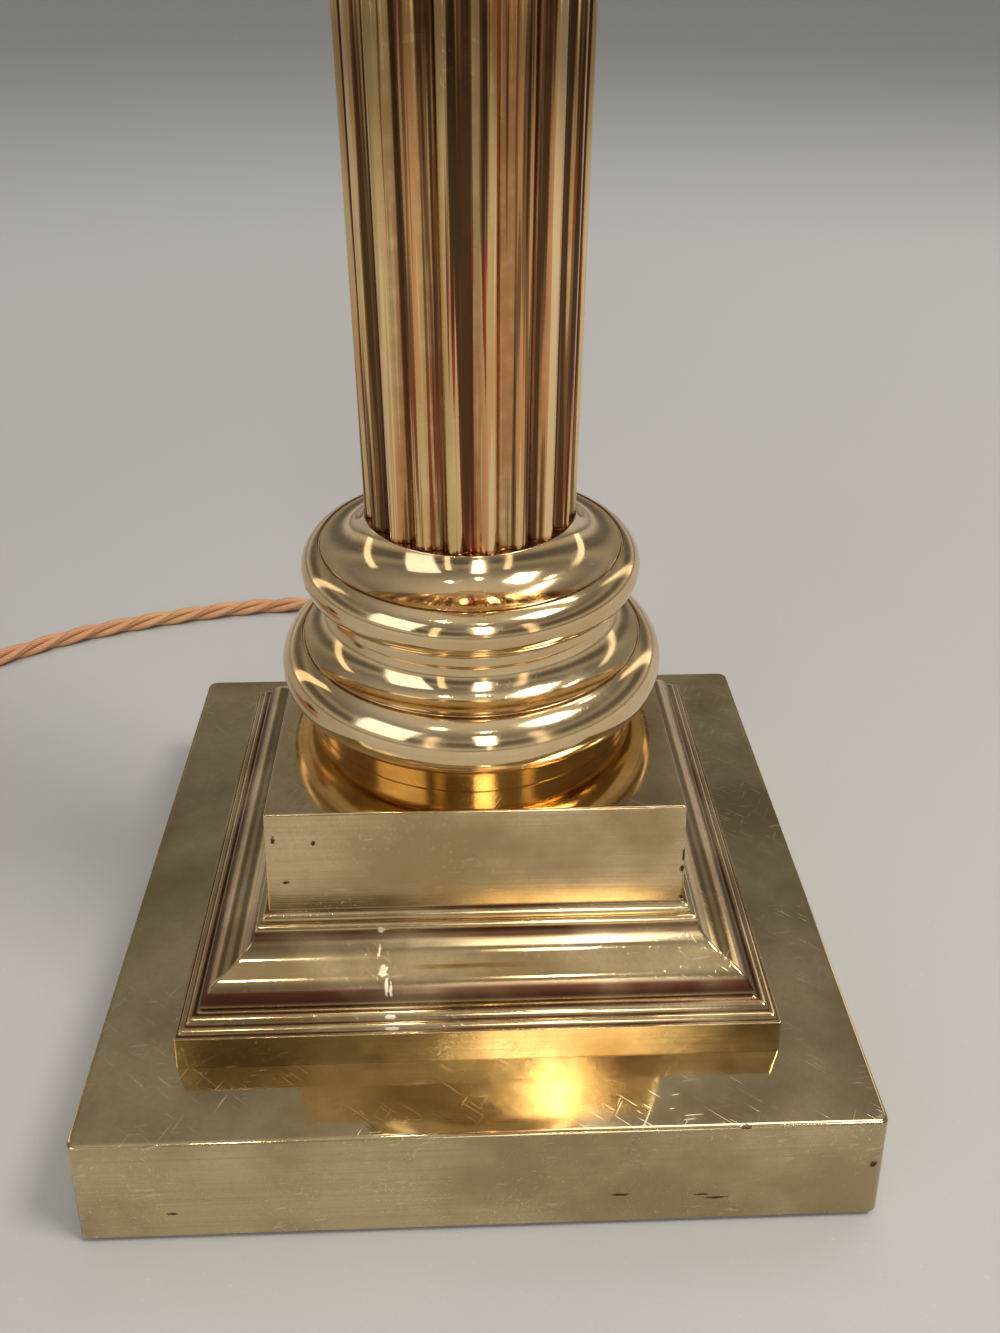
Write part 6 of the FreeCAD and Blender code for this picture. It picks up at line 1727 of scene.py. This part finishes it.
@dataclass
class Lampholder:
    """The turned cap, the domed holder cap, union ring, slotted barrel, shade ring and push bar."""

    cap_r: float = 19.0
    cap_neck: float = 8.5
    cap_height: float = 13.0
    rod_hole: float = 5.25
    holder_r: float = 16.4
    wall: float = 1.3
    neck_r: float = 7.6
    neck: float = 7.0
    dome: float = 8.0
    skirt: float = 14.0
    union_r: float = 18.0
    union_height: float = 7.6
    flange: float = 1.5
    lip: float = 1.2
    barrel_r: float = 14.2
    bore: float = 11.2
    foot_grow: Pair = (0.4, 0.4)  # how much wider the barrel's foot is, out and in
    foot_rise: float = 9.0        # and up to which height
    ring_gap: float = 0.48
    barrel_height: float = 27.0
    slot_width: float = 2.6
    slot_depth: float = 8.0
    slot_turn: float = 22.0
    catch: float = 1.2
    shade_r: float = 17.6
    shade_height: float = 5.0
    bar_r: float = 1.7
    bar_reach: float = 22.5
    button_r: float = 3.4
    button_length: float = 3.0
    rod_fit: float = 5.05         # the holder cap's hole round the rod
    spring_wire: float = 0.5
    spring_turns: int = 4
    spring_steps: int = 24        # points along each turn
    wire_sides: int = 10
    contact_travel: float = 3.0

    def top_cap(self) -> Skin:
        """The turned cap over the abacus: rim bead, hollow cone and a bead at the neck.

        Returns:
            The skin.
        """
        rim = 0.14 * self.cap_height
        return turned([
            (self.rod_hole, 0), (self.cap_r, 0), (self.cap_r, rim, HALF), (self.cap_r, 2 * rim + 0.6),
            (self.cap_r - 1.2, 2 * rim + 0.6, -0.34), (self.cap_neck, self.cap_height - rim),
            (self.cap_neck + 1.0, self.cap_height - rim, HALF), (self.cap_neck + 1.0, self.cap_height),
            (self.rod_hole, self.cap_height)], foot_of("top_cap"), soft=0.15)

    def holder_cap(self) -> Skin:
        """The domed cap: neck, dome and straight skirt, with its wall.

        Returns:
            The skin.
        """
        bore, shoulder, under = self.rod_fit, self.neck + self.dome, self.neck + self.wall
        top, inner = shoulder + self.skirt, self.holder_r - self.wall
        return turned([
            (bore, 0), (self.neck_r, 0), (self.neck_r, self.neck, -0.2), (self.holder_r, shoulder),
            (self.holder_r, top), (inner, top), (inner, shoulder, 0.2), (self.neck_r - self.wall, under),
            (bore, under)], foot_of("holder_cap"))

    def union(self) -> Skin:
        """The knurled ring that joins cap and barrel.

        Returns:
            The skin.
        """
        inner, outer = self.barrel_r + self.ring_gap, self.holder_r + 0.05
        height = self.union_height
        seat = height - self.lip
        return turned([
            (outer, 0), (self.union_r, 0), (self.union_r, 0.9), (self.union_r, height - 0.9),
            (self.union_r, height), (inner, height), (inner, seat), (outer, seat)],
            foot_of("union_ring"), knurl=(0.5, height - 0.5, 0.35, 60))

    def slot_cells(self) -> tuple[np.ndarray, np.ndarray, np.ndarray]:
        """The barrel's grid of angles (degrees) and levels (mm), whose lines follow the edges of the
        two bayonet slots, and which of its cells are solid. A slot runs straight down and then
        round to its catch.

        Returns:
            The angles, the levels and (levels - 1, angles) solidness.
        """
        top = self.flange + self.barrel_height
        half = math.degrees(self.slot_width / 2 / self.barrel_r)
        drop = top - self.slot_depth
        low, high = drop - self.slot_width / 2, drop + self.slot_width / 2
        caught = high + self.catch
        marks = np.array([-half, half, self.slot_turn - 2 * half, self.slot_turn])
        around = np.concatenate([np.arange(-90, 270, 3.0), marks - 90, marks + 90])
        steps = np.unique(around.round(4) % 360)
        rise = self.foot_rise
        shoulder = [self.flange, self.flange + 0.01, self.flange + 0.3]
        levels = np.unique([0, 0.25, *shoulder, rise, rise + 0.1, low, high, caught,
                            *np.linspace(self.flange + 2, top - 0.3, 12), top - 0.1, top])
        middle_a = (steps + np.diff(np.append(steps, steps[0] + 360)) / 2)[None]
        middle_z = ((levels[1:] + levels[:-1]) / 2)[:, None]
        local = (middle_a + 90 + 60) % 180 - 60
        above = middle_z > low
        shaft = (np.abs(local) < half) & above
        before = (local < self.slot_turn) & above
        side_run = (local > 0) & before & (middle_z < high)
        seat = (local > self.slot_turn - 2 * half) & before & (middle_z < caught)
        return steps, levels, ~(shaft | side_run | seat)

    def barrel(self) -> Skin:
        """The barrel over its grid: solid cells outside and inside, and walls where a solid cell meets
        an open one or the barrel's ends.

        Returns:
            The skin.
        """
        steps, levels, solid = self.slot_cells()
        rows, cols = len(levels), len(steps)
        angle, level = np.radians(steps), levels[:, None]
        in_foot = level <= self.foot_rise
        grow_out, grow_in = self.foot_grow
        radius = np.where(level <= self.flange, self.holder_r, self.barrel_r + grow_out * in_foot)
        radius = radius - 0.12 * (level >= levels[-1])
        shells = [np.stack([r * np.cos(angle), r * np.sin(angle), level + 0 * angle], axis=2)
                  for r in (radius, self.bore + grow_in * in_foot)]
        shift = rows * cols
        i, j = np.nonzero(solid)
        beside = (j + 1) % cols
        corner = [i * cols + j, i * cols + beside, (i + 1) * cols + beside, (i + 1) * cols + j]
        faces = [np.stack(corner, axis=1), np.stack([c + shift for c in corner[::-1]], axis=1)]
        framed = np.zeros((rows + 1, cols), bool)
        framed[1:-1] = solid
        for di, dj, a, b in ((-1, 0, 0, 1), (1, 0, 2, 3), (0, 1, 1, 2), (0, -1, 3, 0)):
            open_side = ~framed[i + 1 + di, (j + dj) % cols]
            first, last = corner[a][open_side], corner[b][open_side]
            faces.append(np.stack([last, first, first + shift, last + shift], axis=1))
        points, no_tris = np.concatenate(shells).reshape(-1, 3), np.zeros((0, 3), int)
        return Skin(points, np.concatenate(faces), no_tris, np.zeros(len(points))).outward()

    def shade(self) -> Skin:
        """The shade ring, knurled, with a round edge.

        Returns:
            The skin.
        """
        inner, rim = self.barrel_r + self.ring_gap, self.shade_height / 4
        return turned([
            (inner, 0), (self.shade_r - rim, 0, QUARTER), (self.shade_r, rim),
            (self.shade_r, 3 * rim, QUARTER), (self.shade_r - rim, self.shade_height),
            (inner, self.shade_height)], foot_of("shade_ring"), knurl=(0.9 * rim, 3.1 * rim, 0.3, 72))

    def push_bar(self) -> Skin:
        """The bar across the holder, turned about its own axis, with domed buttons.

        Returns:
            The skin.
        """
        end, start = self.bar_reach, self.bar_reach - self.button_length
        low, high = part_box("switch_bar")
        face, button = self.button_r * 0.6, self.button_r
        skin = turned([
            (0.05, -end), (face, -end, 0.12), (button, -end + 1.1), (button, -start),
            (self.bar_r, -start), (self.bar_r, start), (button, start), (button, end - 1.1, 0.12),
            (face, end), (0.05, end)], 0.0, soft=0.25, sides=48)
        return skin.moved(AXIS_TO_X, tuple((low + high) / 2 / MM))

    def spring(self, node: str) -> Skin:
        """A contact's spring: round wire wound up the height of its solid.

        Args:
            node: the spring's solid.
        Returns:
            The skin.
        """
        low, high = (np.array(corner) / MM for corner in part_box(node))
        wire = self.spring_wire / 2
        steps = self.spring_steps * self.spring_turns + 1
        turn = np.linspace(0, 2 * np.pi * self.spring_turns, steps)[:, None]
        out = np.concatenate([np.cos(turn), np.sin(turn), 0 * turn], axis=1)
        middle = np.append((low[:2] + high[:2]) / 2, 0) + ((high[0] - low[0]) / 2 - wire) * out
        middle[:, 2] = np.linspace(low[2] + wire, high[2] - wire, len(turn))
        return weave(swept(middle, out, np.tile((0, 0, 1.0), (steps, 1)), wire, self.wire_sides))

    def springs(self) -> None:
        """Both springs, each with a mesh of its own."""
        for side in ("left", "right"):
            node = side + "_spring"
            wound = put(side + "_coil_spring", self.spring(node), Finish.STEEL, (node,))
            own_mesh(wound)

    def build(self) -> None:
        """All of the lampholder, dressed."""
        self.springs()
        polished = Finish.BRASS_POLISHED
        put("cap_turned", self.top_cap(), polished, ("top_cap",))
        put("holder_dome", self.holder_cap(), polished, ("holder_cap",))
        put("union_knurled", self.union(), polished, ("union_ring",), sharp=25)
        barrel = self.barrel().lifted(foot_of("holder_barrel"))
        put("barrel_slotted", barrel, polished, ("holder_barrel",))
        put("shade_ring_knurled", self.shade(), polished, ("shade_ring",), "shade_ring", sharp=25)
        put("push_bar", self.push_bar(), Finish.BLACK_PLASTIC, ("switch_bar",), "switch_bar")


# ---- carried-over solids

CARRIED: dict[str, Finish] = {
    "felt_pad": Finish.FELT, "base_plate": Finish.STEEL, "plate_screws": Finish.STEEL,
    "flex_grip": Finish.STEEL, "tie_rod": Finish.STEEL, "rod_washer": Finish.STEEL,
    "rod_nut": Finish.STEEL, "plug_screw": Finish.STEEL,
    "holder_insulator": Finish.PORCELAIN, "left_plunger": Finish.BRASS_GOLD,
    "right_plunger": Finish.BRASS_GOLD, "terminal_screws": Finish.BRASS_GOLD,
    "plug_pins": Finish.BRASS_GOLD,
}


def dress_solids() -> None:
    """Give each carried-over solid its finish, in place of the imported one."""
    for node, finish in CARRIED.items():
        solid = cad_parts[node]
        solid.data.materials.clear()
        solid.data.materials.append(finish.made())
        LOG.info("%s: %s", node, finish.value.name)


def main() -> None:
    """Build the lamp piece by piece."""
    logging.basicConfig(level=logging.INFO, format="%(name)s: %(message)s")
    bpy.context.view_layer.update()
    bpy.context.scene.view_settings.view_transform = "Standard"
    Studio().build()
    sleeve = Sleeve().build()
    plug = Plug().build()
    dress_solids()
    pins = [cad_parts[name] for name in ("plug_pins", "plug_screw")]
    Flex().build([sleeve, *plug, *pins])
    SquareBase().build()
    Column().build()
    Capital().build()
    Lampholder().build()


if __name__ == "__main__":
    main()
